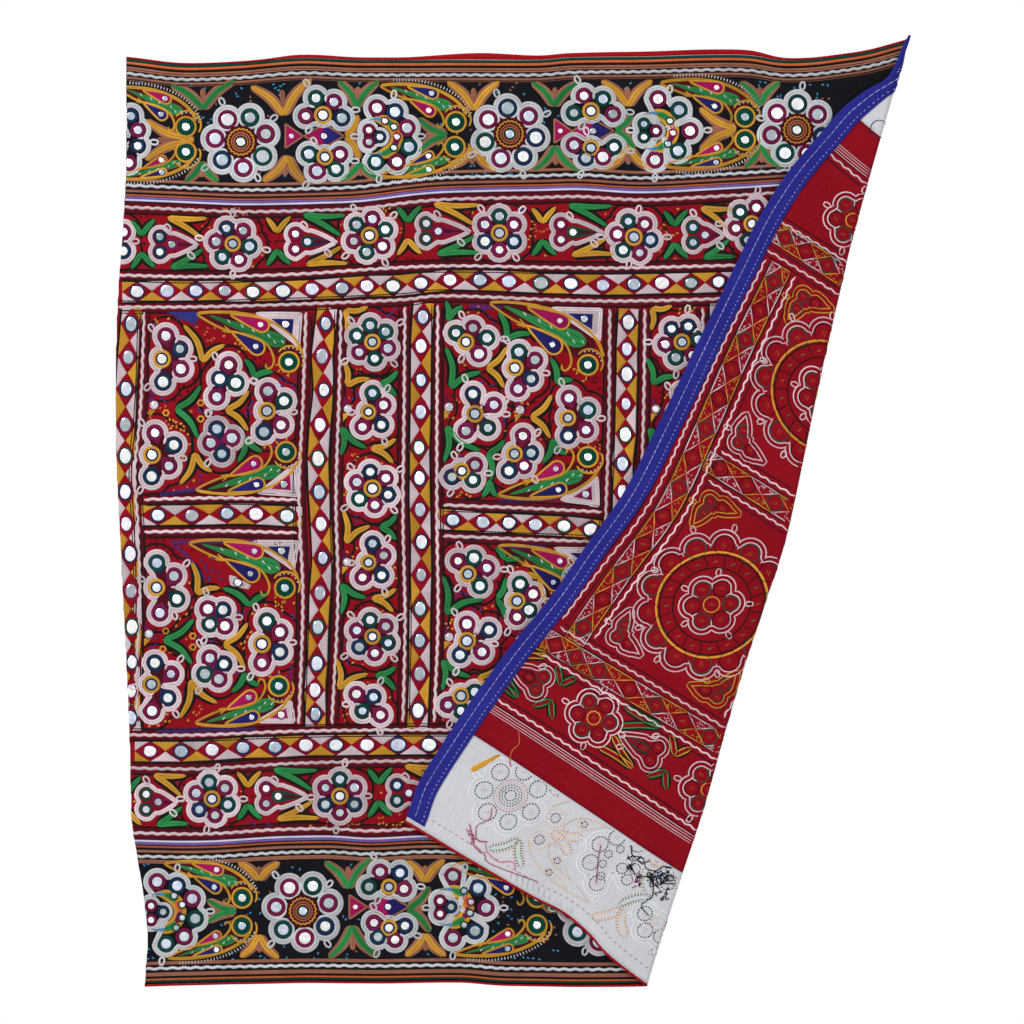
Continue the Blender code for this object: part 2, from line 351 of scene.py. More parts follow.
def new_finish(name):
    """A new material and its main shader."""
    material = bpy.data.materials.new(name)
    material.use_nodes = True
    return material, material.node_tree.nodes["Principled BSDF"]


def sums(material, operation, first, second=0.0, third=0.0):
    """The result of one Math node."""
    inputs = {0: first, 1: second, 2: third}
    return node(material, "ShaderNodeMath", inputs, operation=operation).outputs[0]


def clouds(material, place, scale, detail, distortion=0.0):
    """Soft noise, so many patches to the metre."""
    inputs = {"Vector": place, "Scale": scale, "Detail": detail, "Distortion": distortion}
    return node(material, "ShaderNodeTexNoise", inputs).outputs["Fac"]


def ranged(material, value, low, high, new_low=0.0, new_high=1.0):
    """A value brought from one range to another."""
    inputs = {
        "Value": value, "From Min": low, "From Max": high, "To Min": new_low, "To Max": new_high,
    }
    return node(material, "ShaderNodeMapRange", inputs).outputs["Result"]


def raised(material, height, depth, strength, **under):
    """A surface raised by a height, up to a depth in metres."""
    inputs = {"Strength": strength, "Distance": depth, "Height": height, **under}
    return node(material, "ShaderNodeBump", inputs).outputs["Normal"]


def woven_cotton(name, colour, shade, thread=0.00055, wear=0.12):
    """Plain-woven cotton: crossed threads, slubs, faded patches and soft creases."""
    material, shader = new_finish(name)
    layout = node(material, "ShaderNodeUVMap", {}, uv_map="flat").outputs["UV"]
    split = node(material, "ShaderNodeSeparateXYZ", {0: layout})
    turns = 2 * math.pi / thread
    warp = sums(material, "SINE", sums(material, "MULTIPLY", split.outputs[0], turns))
    weft = sums(material, "SINE", sums(material, "MULTIPLY", split.outputs[1], turns))
    weave = sums(material, "MULTIPLY", warp, weft)
    slubs = clouds(material, layout, 420.0, 3.0)
    patches = clouds(material, layout, 9.0, 4.0)
    creases = clouds(material, layout, 34.0, 5.0, 1.4)
    mottle = sums(material, "MULTIPLY_ADD", patches, 0.6, slubs)
    dyed = node(
        material,
        "ShaderNodeMix",
        {"Factor": ranged(material, mottle, 0.5, 1.1), "A": (*shade, 1.0), "B": (*colour, 1.0)},
        data_type="RGBA",
    )
    link(material, next(one for one in dyed.outputs if one.enabled), shader.inputs["Base Color"])
    relief = sums(material, "MULTIPLY_ADD", weave, 0.5, sums(material, "MULTIPLY", slubs, 0.7))
    fine = raised(material, relief, 0.00022, 0.5)
    link(material, raised(material, creases, 0.0035, 0.6, Normal=fine), shader.inputs["Normal"])
    rough = ranged(material, slubs, 0.0, 1.0, 0.92 - wear, 0.92)
    link(material, rough, shader.inputs["Roughness"])
    shader.inputs["Specular IOR Level"].default_value = 0.05
    return material


FIELD_RED = (0.315, 0.0062, 0.0155)
FIELD_SHADE = (0.215, 0.0035, 0.010)
top_lap = rows_between(
    shifted(top_seam, -LAP["top"]), shifted(top_seam, -SEAM_GAP), LAP_FRONT, CLOTH_BACK
)
full_rows = rows_between(top_seam, bottom_seam, CLOTH_FRONT, CLOTH_BACK)
foot_lap = rows_between(
    shifted(bottom_seam, SEAM_GAP), shifted(bottom_seam, LAP["bottom"]), LAP_FRONT, CLOTH_BACK
)
field = cloth_sheet("field_cloth", top_lap + full_rows + foot_lap)
field.data.materials.append(woven_cotton("crimson_cotton", FIELD_RED, FIELD_SHADE))
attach(field, "root")
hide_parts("field")


# The black borders: a band of black satin-faced cotton above and below the field, cut from
# the edging to the seam and embroidered before it was joined to the field.
BORDER_BLACK = (0.011, 0.010, 0.014)
BORDER_SHADE = (0.005, 0.005, 0.008)
BORDER_BACK = 0.2
black_satin = woven_cotton(
    "black_satin", BORDER_BLACK, BORDER_SHADE, thread=0.0004, wear=0.3
)
for border_name, upper, lower in (
    ("top_border", top_cut, shifted(top_seam, -SEAM_GAP)),
    ("bottom_border", shifted(bottom_seam, SEAM_GAP), bottom_cut),
):
    border_rows = rows_between(upper, lower, CLOTH_FRONT, BORDER_BACK)
    border = cloth_sheet(border_name + "_cloth", border_rows)
    border.data.materials.append(black_satin)
    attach(border, "root")
    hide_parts(border_name)


# The calico backing: thin white cotton behind each black border, caught by the embroidery
# stitches and turned in at the cut edge. The field's lap covers its inner side.
CALICO_WHITE = (0.72, 0.73, 0.77)
CALICO_SHADE = (0.58, 0.59, 0.64)
BACKING_FRONT = 0.4
calico_cloth = woven_cotton("white_calico", CALICO_WHITE, CALICO_SHADE, wear=0.05)
for backing_name, upper, lower in (
    ("top_backing", top_cut, shifted(top_seam, -LAP["top"] - SEAM_GAP)),
    ("bottom_backing", shifted(bottom_seam, LAP["bottom"] + SEAM_GAP), bottom_cut),
):
    backing_rows = rows_between(upper, lower, BACKING_FRONT, CLOTH_BACK)
    backing = cloth_sheet(backing_name + "_cloth", backing_rows)
    backing.data.materials.append(calico_cloth)
    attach(backing, "root")
    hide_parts(backing_name)


# The red edging: a narrow folded strip of red cotton caught in the top and the foot of the
# hanging, which peeps out more where the border's hem is drawn down.
top_peep = line_through(
    (108, 1.8), (262, 1.8), (300, 3.4), (400, 2.8), (480, 7), (540, 4.6), (640, 5.2),
    (750, 5.2), (788, 2.4), (932, 2.1),
)
bottom_peep = line_through((108, 2.3), (516, 2.1), (972, 2.6))
EDGING_RED = (0.42, 0.008, 0.012)
EDGING_SHADE = (0.3, 0.004, 0.01)
# Share of the peep, front layer, back layer: the strip narrows to its rounded fold
EDGING_SHAPE = ((0.05, FACE, REVERSE), (0.8, FACE, REVERSE), (1.0, -0.4, 0.4))
red_edging = woven_cotton("red_edging", EDGING_RED, EDGING_SHADE)


def edging_rows(cut, peep, side):
    """Rows of the folded strip, from the cut edge out to its rounded fold."""
    rows = []
    for share, front, back in EDGING_SHAPE:
        rows.append((lambda x, share=share: cut(x) + side * peep(x) * share, front, back))
    return rows if side > 0 else rows[::-1]


for edging_name, cut, peep, side in (
    ("top_edging", top_cut, top_peep, -1),
    ("bottom_edging", bottom_cut, bottom_peep, 1),
):
    edging = cloth_sheet(edging_name + "_strip", edging_rows(cut, peep, side))
    edging.data.materials.append(red_edging)
    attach(edging, "root")
    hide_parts(edging_name)


# The seam cords: a violet and a white cord laid side by side along each seam between field
# and border, couched down with small stitches on the face.

# Stitches end this many pixels inside the cloth's edges, and the hidden face of the flap is
# stitched for this many millimetres past the fold.
EDGE_GAP = 0.6
UNDER_FLAP = 22.0
REVERSE_BRIGHTNESS = 1.14
TONE_VARIETY = 0.09
# Cross sections of some rows side by side: place across, rise, and rows up to there
PROFILES = {
    1: ((-1.0, 0.0, 0.0), (-0.5, 0.8, 0.25), (0.0, 1.0, 0.5), (0.5, 0.8, 0.75), (1.0, 0.0, 1.0)),
    2: ((-1.0, 0.0, 0.0), (-0.5, 1.0, 0.5), (0.0, 0.45, 1.0), (0.5, 1.0, 1.5), (1.0, 0.0, 2.0)),
    3: (
        (-1.0, 0.0, 0.0), (-0.7, 0.9, 0.5), (-0.35, 0.7, 1.0), (0.0, 1.1, 1.5),
        (0.35, 0.7, 2.0), (0.7, 0.9, 2.5), (1.0, 0.0, 3.0),
    ),
    "thin": ((-1.0, 0.0, 0.0), (0.0, 1.0, 0.5), (1.0, 0.0, 1.0)),
}
STITCH_LENGTH = 2.5
ROW_WIDTH = 1.9
# Threads: w white, s grey-white, y mustard, g green, d and e dark green, m magenta, n navy,
# b blue, k black, t terracotta, o orange, r maroon, f bright pink, i indigo, v violet,
# l light blue, c crimson, p pale pink
THREAD = {
    "w": (0.68, 0.56, 0.60), "s": (0.59, 0.60, 0.63), "y": (0.61, 0.305, 0.034),
    "g": (0.027, 0.228, 0.064), "d": (0.003, 0.070, 0.045), "m": (0.19, 0.0095, 0.068),
    "n": (0.013, 0.025, 0.085), "b": (0.035, 0.045, 0.26), "k": (0.012, 0.009, 0.009),
    "t": (0.33, 0.13, 0.08), "o": (0.54, 0.12, 0.038), "r": (0.085, 0.005, 0.011),
    "f": (0.42, 0.008, 0.115), "i": (0.022, 0.018, 0.15),
    "v": (0.19, 0.11, 0.38), "l": (0.045, 0.26, 0.48), "c": (0.30, 0.004, 0.012),
    "p": (0.60, 0.18, 0.24), "e": (0.004, 0.060, 0.042),
}


def new_stitching(side):
    """An empty lot of stitches for the face (1) or for the reverse (-1)."""
    return {"side": side, "flat": [], "colour": [], "stitch": [], "quads": [], "tris": []}


def lay(work, x, y, height, colour, stitch, quads, tris):
    """Adds points at a height above the cloth, with the faces that join them."""
    start = sum(len(block) for block in work["flat"])
    work["flat"].append(np.stack((x, y, height), -1))
    tone = np.array(THREAD.get(colour, colour)) * (1 + TONE_VARIETY * chance.standard_normal())
    work["colour"].append(np.tile(np.append(np.clip(tone, 0, 1), 1.0), (len(x), 1)))
    work["stitch"].append(stitch)
    for key, faces in (("quads", quads), ("tris", tris)):
        if len(faces):
            faces = faces + start
            work[key].append(faces if work["side"] > 0 else faces[:, ::-1])


def row_foot(lift):
    """Height of a row's sides: sunk in the cloth, or below a row that lies on others."""
    return -0.15 if lift < 0.4 else lift - 0.35


def smooth_path(points, step, closed=False):
    """Places a step apart on the smooth curve through some points."""
    p = np.asarray(points, float)
    if closed:
        p = np.concatenate((p[-1:], p, p[:2]))
    else:
        p = np.concatenate((2 * p[:1] - p[1:2], p, 2 * p[-1:] - p[-2:-1]))
    t = np.linspace(0, 1, 7)[:-1, None]
    curve = [
        b + 0.5 * ((c - a) * t + (2 * a - 5 * b + 4 * c - d) * t**2 + (3 * b - a - 3 * c + d) * t**3)
        for a, b, c, d in zip(p, p[1:], p[2:], p[3:])
    ]
    curve = np.concatenate(curve + [p[-2:-1]])
    length = np.append(0, np.cumsum(np.hypot(*np.diff(curve[:, :2], axis=0).T)))
    at = np.linspace(0, length[-1], max(2, round(length[-1] / step)) + 1)
    return np.stack([np.interp(at, length, column) for column in curve.T], -1), at


def stroke(work, points, colour, width=3.0, rows=1, lift=0.15, height=0.65, closed=False,
           step=2.4, blunt=False):
    """Rows of chain stitch along a line in pixels, lifted and raised in millimetres."""
    path, at = smooth_path(points, step, closed)
    along = np.gradient(path[:, :2], axis=0)
    if closed:
        along[[0, -1]] = path[1, :2] - path[-2, :2]
    along /= np.maximum(np.hypot(*along.T), 1e-6)[:, None]
    wide = (path[:, 2] if path.shape[1] > 2 else np.full(len(path), width)) / 2
    if not closed and not blunt:
        wide = wide * np.clip(0.35 + np.minimum(at, at[-1] - at) / np.maximum(wide, 0.5), 0, 1)
    profile = np.array(PROFILES[rows])
    x = path[:, :1] - along[:, 1:] * wide[:, None] * profile[:, 0]
    y = path[:, 1:2] + along[:, :1] * wide[:, None] * profile[:, 0]
    up = np.where(profile[:, 1] > 0, lift + profile[:, 1] * height, row_foot(lift)) + 0 * x
    stitch = np.stack((
        np.repeat(at * STEP / MM / STITCH_LENGTH, len(profile)),
        np.tile(profile[:, 2], len(path)),
    ), -1)
    index = np.arange(x.size).reshape(x.shape)
    a, b, c, d = index[:-1, :-1], index[:-1, 1:], index[1:, 1:], index[1:, :-1]
    quads = np.stack((a, b, c, d), -1).reshape(-1, 4)
    lay(work, x.ravel(), y.ravel(), up.ravel(), colour, stitch, quads, ())


def sewn(name, work, finish, only=None):
    """Turns a lot of stitches into one piece that follows the hung cloth."""
    flat, colour, stitch = (np.concatenate(work[key]) for key in ("flat", "colour", "stitch"))
    y = flat[:, 1]
    low, high = left_edge(y) + EDGE_GAP, right_edge(y) - EDGE_GAP
    outside = (flat[:, 0] < low) | (flat[:, 0] > high)
    x = np.clip(flat[:, 0], low, high)
    if work["side"] > 0:
        outside |= past_fold(x, y)[2] > TURN + UNDER_FLAP
        layer = CLOTH_FRONT - flat[:, 2]
    else:
        layer = CLOTH_BACK + flat[:, 2]
        colour = np.minimum(REVERSE_BRIGHTNESS * colour, 1.0)
    left_out = ~only(flat) if only else np.zeros(len(flat), bool)
    lots = [np.concatenate(work[key]) for key in ("quads", "tris") if work[key]]
    lots = [lot[~outside[lot].all(axis=1) & ~left_out[lot].any(axis=1)] for lot in lots]
    used = np.unique(np.concatenate([lot.ravel() for lot in lots]))
    number = np.zeros(len(flat), int)
    number[used] = np.arange(len(used))
    points = hung(x[used], y[used], layer[used])
    piece = mesh_of(name, points, [number[lot] for lot in lots], "stitch", stitch[used])
    dye_and_reflection = piece.data.color_attributes.new(name="thread", type="FLOAT_COLOR", domain="POINT")
    dye_and_reflection.data.foreach_set("color", colour[used].astype(np.float32).ravel())
    piece.data.materials.append(finish)
    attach(piece, "root")
    return piece


def shaded(material, colour, share):
    """A colour made darker or lighter by a share."""
    inputs = {"Vector": colour, "Scale": share}
    return node(material, "ShaderNodeVectorMath", inputs, operation="SCALE").outputs["Vector"]


def chain_stitch_thread(name, shine=0.06):
    """Chain stitch in twisted thread: loops in rows, with painted shade where rows meet and between
    loops.
    """
    material, shader = new_finish(name)
    dye_and_reflection = node(material, "ShaderNodeAttribute", {}, attribute_name="thread").outputs["Color"]
    layout = node(material, "ShaderNodeUVMap", {}, uv_map="stitch").outputs["UV"]
    split = node(material, "ShaderNodeSeparateXYZ", {0: layout})
    row = sums(material, "FRACT", split.outputs[1])
    side = sums(material, "ABSOLUTE", sums(material, "MULTIPLY_ADD", row, 2.0, -1.0))
    slant = sums(material, "MULTIPLY_ADD", side, -0.45, split.outputs[0])
    loop = sums(material, "SINE", sums(material, "MULTIPLY", slant, 2 * math.pi))
    place = node(material, "ShaderNodeTexCoord", {}).outputs["Object"]
    fibre = clouds(material, place, 1500.0, 2.0)
    fade = clouds(material, place, 45.0, 3.0)
    groove = sums(material, "POWER", side, 5.0)
    ridge = sums(material, "MULTIPLY_ADD", groove, -1.0, 1.0)
    relief = sums(material, "MULTIPLY_ADD", loop, 0.28, ridge)
    # Painted shade and light: colour darker in the grooves and between loops, lighter on loop tops; fade
    # adds faded patches
    shade = ranged(material, relief, 0.0, 1.28, 0.42, 1.1)
    painted_shade_and_fade = sums(material, "MULTIPLY", shade, ranged(material, fade, 0.3, 0.7, 0.86, 1.1))
    link(material, shaded(material, dye_and_reflection, painted_shade_and_fade), shader.inputs["Base Color"])
    hairy = sums(material, "MULTIPLY_ADD", fibre, 0.5, relief)
    link(material, raised(material, hairy, 0.0005, 0.7), shader.inputs["Normal"])
    link(material, ranged(material, fibre, 0.0, 1.0, 0.6, 0.9), shader.inputs["Roughness"])
    shader.inputs["Specular IOR Level"].default_value = shine
    return material


def along(line, distance=0.0, start=108.0, end=965.0, step=9.0):
    """Points along a seam or a cut, a fixed distance below it."""
    x = np.arange(start, end, step)
    return np.stack((x, line(x) + distance), -1)


LAVENDER = (0.66, 0.62, 0.84)
cotton_thread = chain_stitch_thread("cotton_thread")
cord_thread = chain_stitch_thread("cord_thread", shine=0.15)
for cord_name, seam, tones in (
    ("top_seam_cord", top_seam, ((-1.3, "v"), (1.2, LAVENDER))),
    ("bottom_seam_cord", bottom_seam, ((-1.2, LAVENDER), (1.3, "v"))),
):
    cord_work = new_stitching(1)
    for distance, tone in tones:
        stroke(cord_work, along(seam, distance), tone, 2.7, lift=0.3, height=1.5, blunt=True)
    seam_cord = sewn(cord_name + "_pair", cord_work, cord_thread)
    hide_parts(cord_name)


# The blue facing: a bias strip of blue cotton on the right edge, turned to the back and sewn
# down with a row of white stitches near each side. It shows on the front along the flap.
FACING_WIDTH = 21.6
FACING_OUT = 0.9
FACING_TOP = 54.4
FACING_FOOT = 965.6
# At the top corner the strip's inner side leans up over this length
CORNER_LEAN = 18.0
CORNER_LENGTH = 70.0
FACING_BLUE = (0.030, 0.032, 0.30)
FACING_SHADE = (0.016, 0.018, 0.19)


def facing_place(y, share):
    """Flat places across the facing, 0 at the cloth's edge and 1 at its inner side."""
    lean = CORNER_LEAN * np.clip(1 - (y - FACING_TOP) / CORNER_LENGTH, 0, 1) * share
    return right_edge(y) + FACING_OUT - FACING_WIDTH * share, y - lean


def facing_points(y, share, layer):
    """Hung places of the facing, kept below the top cut."""
    x, low = facing_place(y, share)
    top = top_cut(x) + 1.5 - 5.0 * np.clip(1 - 3 * share, 0, 1)
    return hung(x, np.maximum(low, top), layer)


# Courses down the strip, then its rises between the sunk rows of stitching
facing_y = np.concatenate((np.linspace(36.5, 130, 32), np.linspace(135, FACING_FOOT, 140)))
facing_share = np.array((0.0, 0.015, 0.08, 0.16, 0.35, 0.5, 0.68, 0.84, 0.93, 0.985, 1.0))
facing_rise = np.array((0.0, 0.45, 0.75, 0.55, 0.9, 1.0, 0.9, 0.55, 0.8, 0.5, 0.0))
down_y, share = np.meshgrid(facing_y, facing_share[::-1], indexing="ij")
ripple = 0.25 * np.sin(down_y / 9.0 + 5 * share) + 0.2 * np.sin(down_y / 23.0)
outer = facing_points(down_y, share, 1.7 + facing_rise[::-1] * (1.3 + ripple))
inner = facing_points(down_y, share, 1.4)
facing_flat = np.stack((share * FACING_WIDTH, down_y), -1)
facing = closed_sheet("facing_strip", inner, outer, facing_flat)
facing.data.materials.append(
    woven_cotton("facing_cotton", FACING_BLUE, FACING_SHADE, thread=0.0006, wear=0.1)
)
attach(facing, "root")
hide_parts("side_binding")
facing_stitches = new_stitching(-1)
for share, pitch, dash in ((0.40, 6.2, 5.6), (0.80, 4.6, 2.2)):
    for y in np.arange(82.0, FACING_FOOT - 4, pitch):
        y = y + np.array((0.0, 0.5, 1.0)) * dash
        line = np.stack(facing_place(y, share), -1)
        stroke(facing_stitches, line, (0.42, 0.44, 0.72), 0.95, lift=1.9, height=0.7, step=1.8)
sewn("facing_stitches", facing_stitches, cotton_thread)


# The lines of stitching along every edge and seam: terracotta, orange, green and black
# chain stitch with a wavy white line between them, worked through both layers of cloth.
PROFILES["double"] = (
    (-1.0, 0.0, 0.0), (-0.75, 1.0, 0.5), (-0.5, 0.0, 1.0),
    (0.5, 0.0, 1.0), (0.75, 1.0, 1.5), (1.0, 0.0, 2.0),
)
# The wavy line in pixels; its waves bunch up and open again at the second length's pace
WAVE_LENGTH = 11.0
BUNCH_LENGTH = 37.0
BUNCH = 1.6
WAVE_DEPTH = 0.62


def beside(points, distance):
    """The same line, shifted sideways by a distance."""
    points = np.asarray(points, float)
    run = np.gradient(points, axis=0)
    run /= np.hypot(*run.T)[:, None]
    return points + distance * np.stack((-run[:, 1], run[:, 0]), -1)


def new_cloth():
    """Empty stitchings for the face, the reverse and the mirrors."""
    return new_stitching(1), new_stitching(-1), new_stitching(1)


def wavy(cloth, points, colour="w", width=3.3, ground="r", rim="k"):
    """A wavy line of white chain stitch between two darker lines."""
    face, back, _ = cloth
    path, at = smooth_path(points, 2.6)
    bunch = BUNCH * np.sin(at / BUNCH_LENGTH + points[0][1])
    swing = WAVE_DEPTH * np.sin(2 * math.pi * at / WAVE_LENGTH + bunch)
    run = np.gradient(path, axis=0)
    run /= np.hypot(*run.T)[:, None]
    line = path + swing[:, None] * np.stack((-run[:, 1], run[:, 0]), -1)
    stroke(face, line, colour, width, rows=1, lift=0.3, height=0.8)
    stroke(back, path + 1.5 * (line - path), colour, 2.1, rows="thin", height=0.75, step=3.0)
    for side in (-1, 1):
        stroke(face, beside(path, 3.7 * side), ground, 3.2, lift=0.05, height=0.5, step=6)
        stroke(face, beside(path, 6.1 * side), rim, 1.9, lift=0.1, height=0.55, step=6)
        stroke(back, beside(path, 5.0 * side), "r", 2.6, rows="thin", height=0.4, step=7)


# Edge or seam, then lines below it (distance, width, colour), then the wavy line's distance
EDGE_ROWS = (
    (top_cut, ((1.4, 2.2, "e"), (4.3, 3.0, "o"), (6.6, 1.6, "k"), (9.3, 2.3, "t"),
               (11.4, 2.0, "t"), (19.0, 2.8, "t"), (21.0, 1.4, "k")), 15.0),
    (top_seam, ((-18.2, 2.8, "t"), (-8.1, 2.4, "t"), (-9.8, 1.6, "r"), (-6.0, 2.0, "k"),
                (-3.7, 2.0, "o")), -13.2),
    (bottom_seam, ((4.4, 2.2, "o"), (7.0, 2.0, "k"), (9.3, 2.6, "t"), (18.3, 2.6, "t")), 14.2),
    (bottom_cut, ((-20.0, 2.8, "t"), (-10.6, 2.4, "t"), (-8.4, 1.8, "t"), (-6.3, 1.6, "k"),
                  (-4.5, 2.2, "o"), (-2.4, 2.0, "e")), -15.4),
)
edge_lines = new_cloth()
for line, rows, wave in EDGE_ROWS:
    for distance, width, tone in rows:
        stroke(edge_lines[0], along(line, distance), tone, width, lift=0.1, height=0.75, step=6)
    wavy(edge_lines, along(line, wave), "s", 3.2, ground="k", rim="t")
# The hems hide the reverse of the lines so far, so the reverse starts again empty
edge_lines = (edge_lines[0], new_stitching(-1), edge_lines[2])
for line, distance in ((top_seam, 8.6), (bottom_seam, -9.0)):
    wavy(edge_lines, along(line, distance, end=950.0))
    for tone, gap, width in (("r", 2.6, 2.2), ("k", 0.9, 1.4)):
        gap = gap if distance > 0 else -gap - 0.6
        stroke(edge_lines[0], along(line, gap), tone, width, lift=0.1, height=0.5, step=6)
for line, sign in ((top_seam, -1), (bottom_seam, 1)):
    for row in (-2.6, 0.0, 2.6, 5.0):
        stroke(edge_lines[1], along(line, sign * row), "w", 0.9, rows="thin", step=4.0)
sewn("edge_lines", edge_lines[0], cotton_thread)
sewn("edge_lines_reverse", edge_lines[1], cotton_thread)


# The bands that part the field into panels: mustard and white triangles point at each other
# between small mirrors, with a wavy white line on each side.

# Places where no seed goes later, each with its reach
taken = []
MIRROR_SIDES = 12
WIDE_RIM = 2.4
# How much wider and taller the mirrors of a level band and of an upright band look
LEVEL_OVAL = np.array((0.03, -0.09))
UPRIGHT_OVAL = np.array((-0.16, 0.10))
# Painted reflections: each mirror's colour stands for what it reflects, bright white, pale blue and grey
PAINTED_MIRROR_REFLECTIONS = (
    (0.96, 0.97, 1.0), (0.60, 0.67, 0.80), (0.94, 0.95, 1.0), (0.44, 0.50, 0.55),
    (0.98, 0.98, 0.98), (0.68, 0.74, 0.86), (0.97, 0.98, 1.0), (0.50, 0.55, 0.58),
    (0.52, 0.60, 0.68), (0.95, 0.97, 1.0), (0.78, 0.83, 0.95),
)


def edge_points(corners, step=4.5):
    """Places along the straight sides of a closed shape."""
    corners = np.asarray(corners, float)
    sides = []
    for start, end in zip(corners, np.roll(corners, -1, axis=0)):
        count = max(2, round(math.dist(start, end) / step))
        sides.append(start + (end - start) * np.arange(count)[:, None] / count)
    return np.concatenate(sides)


def fill(work, border, colour, lift=0.2, height=0.55, turn=0.0):
    """Close rows of chain stitch that fill a shape."""
    border = np.asarray(border, float)
    middle = border.mean(axis=0)
    count = len(border)
    places, rises = [], []
    for share, rise in ((1.0, row_foot(lift)), (0.93, lift + 0.75 * height), (0.5, lift + height)):
        places.append(middle + (border - middle) * share)
        rises.append(np.full(count, rise))
    places = np.concatenate(places + [middle[None]])
    rises = np.append(np.concatenate(rises), lift + 1.1 * height)
    here = np.arange(count)
    after = (here + 1) % count
    spin = np.cross(border - middle, np.roll(border, -1, axis=0) - middle).sum() > 0
    quads = np.concatenate([
        np.stack((here + k, after + k, after + k + count, here + k + count), -1)
        for k in (0, count)
    ])
    tris = np.stack((here + 2 * count, after + 2 * count, np.full(count, 3 * count)), -1)
    if spin:
        quads, tris = quads[:, ::-1], tris[:, ::-1]
    swing = np.array(((math.cos(turn), -math.sin(turn)), (math.sin(turn), math.cos(turn))))
    stitch = places @ swing * STEP / MM / (STITCH_LENGTH, ROW_WIDTH)
    lay(work, places[:, 0], places[:, 1], rises, colour, stitch, quads, tris)


def stipple(work, corners, colour, count=13):
    """Short stitches scattered over a three-cornered shape of the reverse."""
    corners = np.asarray(corners, float)
    for _ in range(count):
        shares = chance.dirichlet((1.2, 1.2, 1.2))
        spot = shares @ corners
        aim = chance.uniform(0, math.pi)
        reach = 1.3 * np.array((math.cos(aim), math.sin(aim)))
        stroke(work, (spot - reach, spot + reach), colour, 0.9, rows="thin", height=0.5, step=2.6)
    for start, end in zip(corners, np.roll(corners, -1, axis=0)):
        stroke(work, (start, end), colour, 1.4, rows="thin", height=0.5, step=9.0)


def circle(x, y, reach, count):
    """Places set evenly round a middle, at one reach or each at its own."""
    angle = np.linspace(0, 2 * math.pi, count, endpoint=False)
    return (x, y) + np.stack((reach * np.cos(angle), reach * np.sin(angle)), -1)


def ring(work, x, y, radius, width, colour, rows=1, lift=0.3, height=0.7, step=3.2, oval=(1, 1)):
    """One closed line of stitches round a place."""
    count = max(8, round(2 * math.pi * radius / step))
    angle = np.linspace(0, 2 * math.pi, count, endpoint=False)
    points = (x, y) + radius * np.stack((np.cos(angle), np.sin(angle)), -1) * oval
    stroke(work, points, colour, width, rows, lift, height, closed=True, step=step)


def mirror(cloth, x, y, radius, colour="n", rim=3.2, lift=0.0, oval=(1, 1)):
    """A small round mirror held by a ring of stitches; its reverse is a ringed bulge."""
    face, back, glass = cloth
    angle = np.linspace(0, 2 * math.pi, MIRROR_SIDES, endpoint=False) + chance.uniform(0, 1)
    reach = radius * (1 + 0.05 * chance.standard_normal(MIRROR_SIDES))
    border = (x, y) + np.stack((reach * np.cos(angle), reach * np.sin(angle)), -1) * oval
    # Each mirror gets one painted reflection colour, picked at random
    painted_reflection = PAINTED_MIRROR_REFLECTIONS[int(chance.integers(len(PAINTED_MIRROR_REFLECTIONS)))]
    fill(glass, enlarged(border, 1.1), painted_reflection, lift=lift + 0.65, height=0.3)
    outer = "e" if colour == "n" and chance.random() < 0.5 and rim > WIDE_RIM else colour
    place = 0.7 if colour == "y" else 0.45
    ring(face, x, y, radius + rim * place, rim * 1.15, outer, lift=lift + 0.6, height=0.8, oval=oval)
    if rim > WIDE_RIM:
        dark = {"n": "e", "m": "r", "y": "n", "e": "n"}.get(outer, "r")
        ring(face, x, y, radius + 0.1, 2.4 if colour == "y" else 1.7, dark, lift=lift + 0.85, height=0.6)
    tone = {"n": "e", "m": "r", "y": "y", "e": "k"}.get(colour, "r")
    ring(back, x, y, radius + rim * 0.75, 1.5, tone, rows="thin", height=0.5, step=4.4)
    lean = chance.uniform(0.6, 2.2)
    tick = 0.45 * radius * np.array((math.cos(lean), math.sin(lean)))
    for shift in (-1.3, 1.3):
        spot = np.array((x + shift, y))
        stroke(back, (spot - tick, spot + tick), "o", 0.8, rows="thin", height=0.4, step=5)
    taken.append((x, y, radius + rim))


def enlarged(border, share):
    """The same outline, a little larger round its middle."""
    return border.mean(axis=0) + (border - border.mean(axis=0)) * share


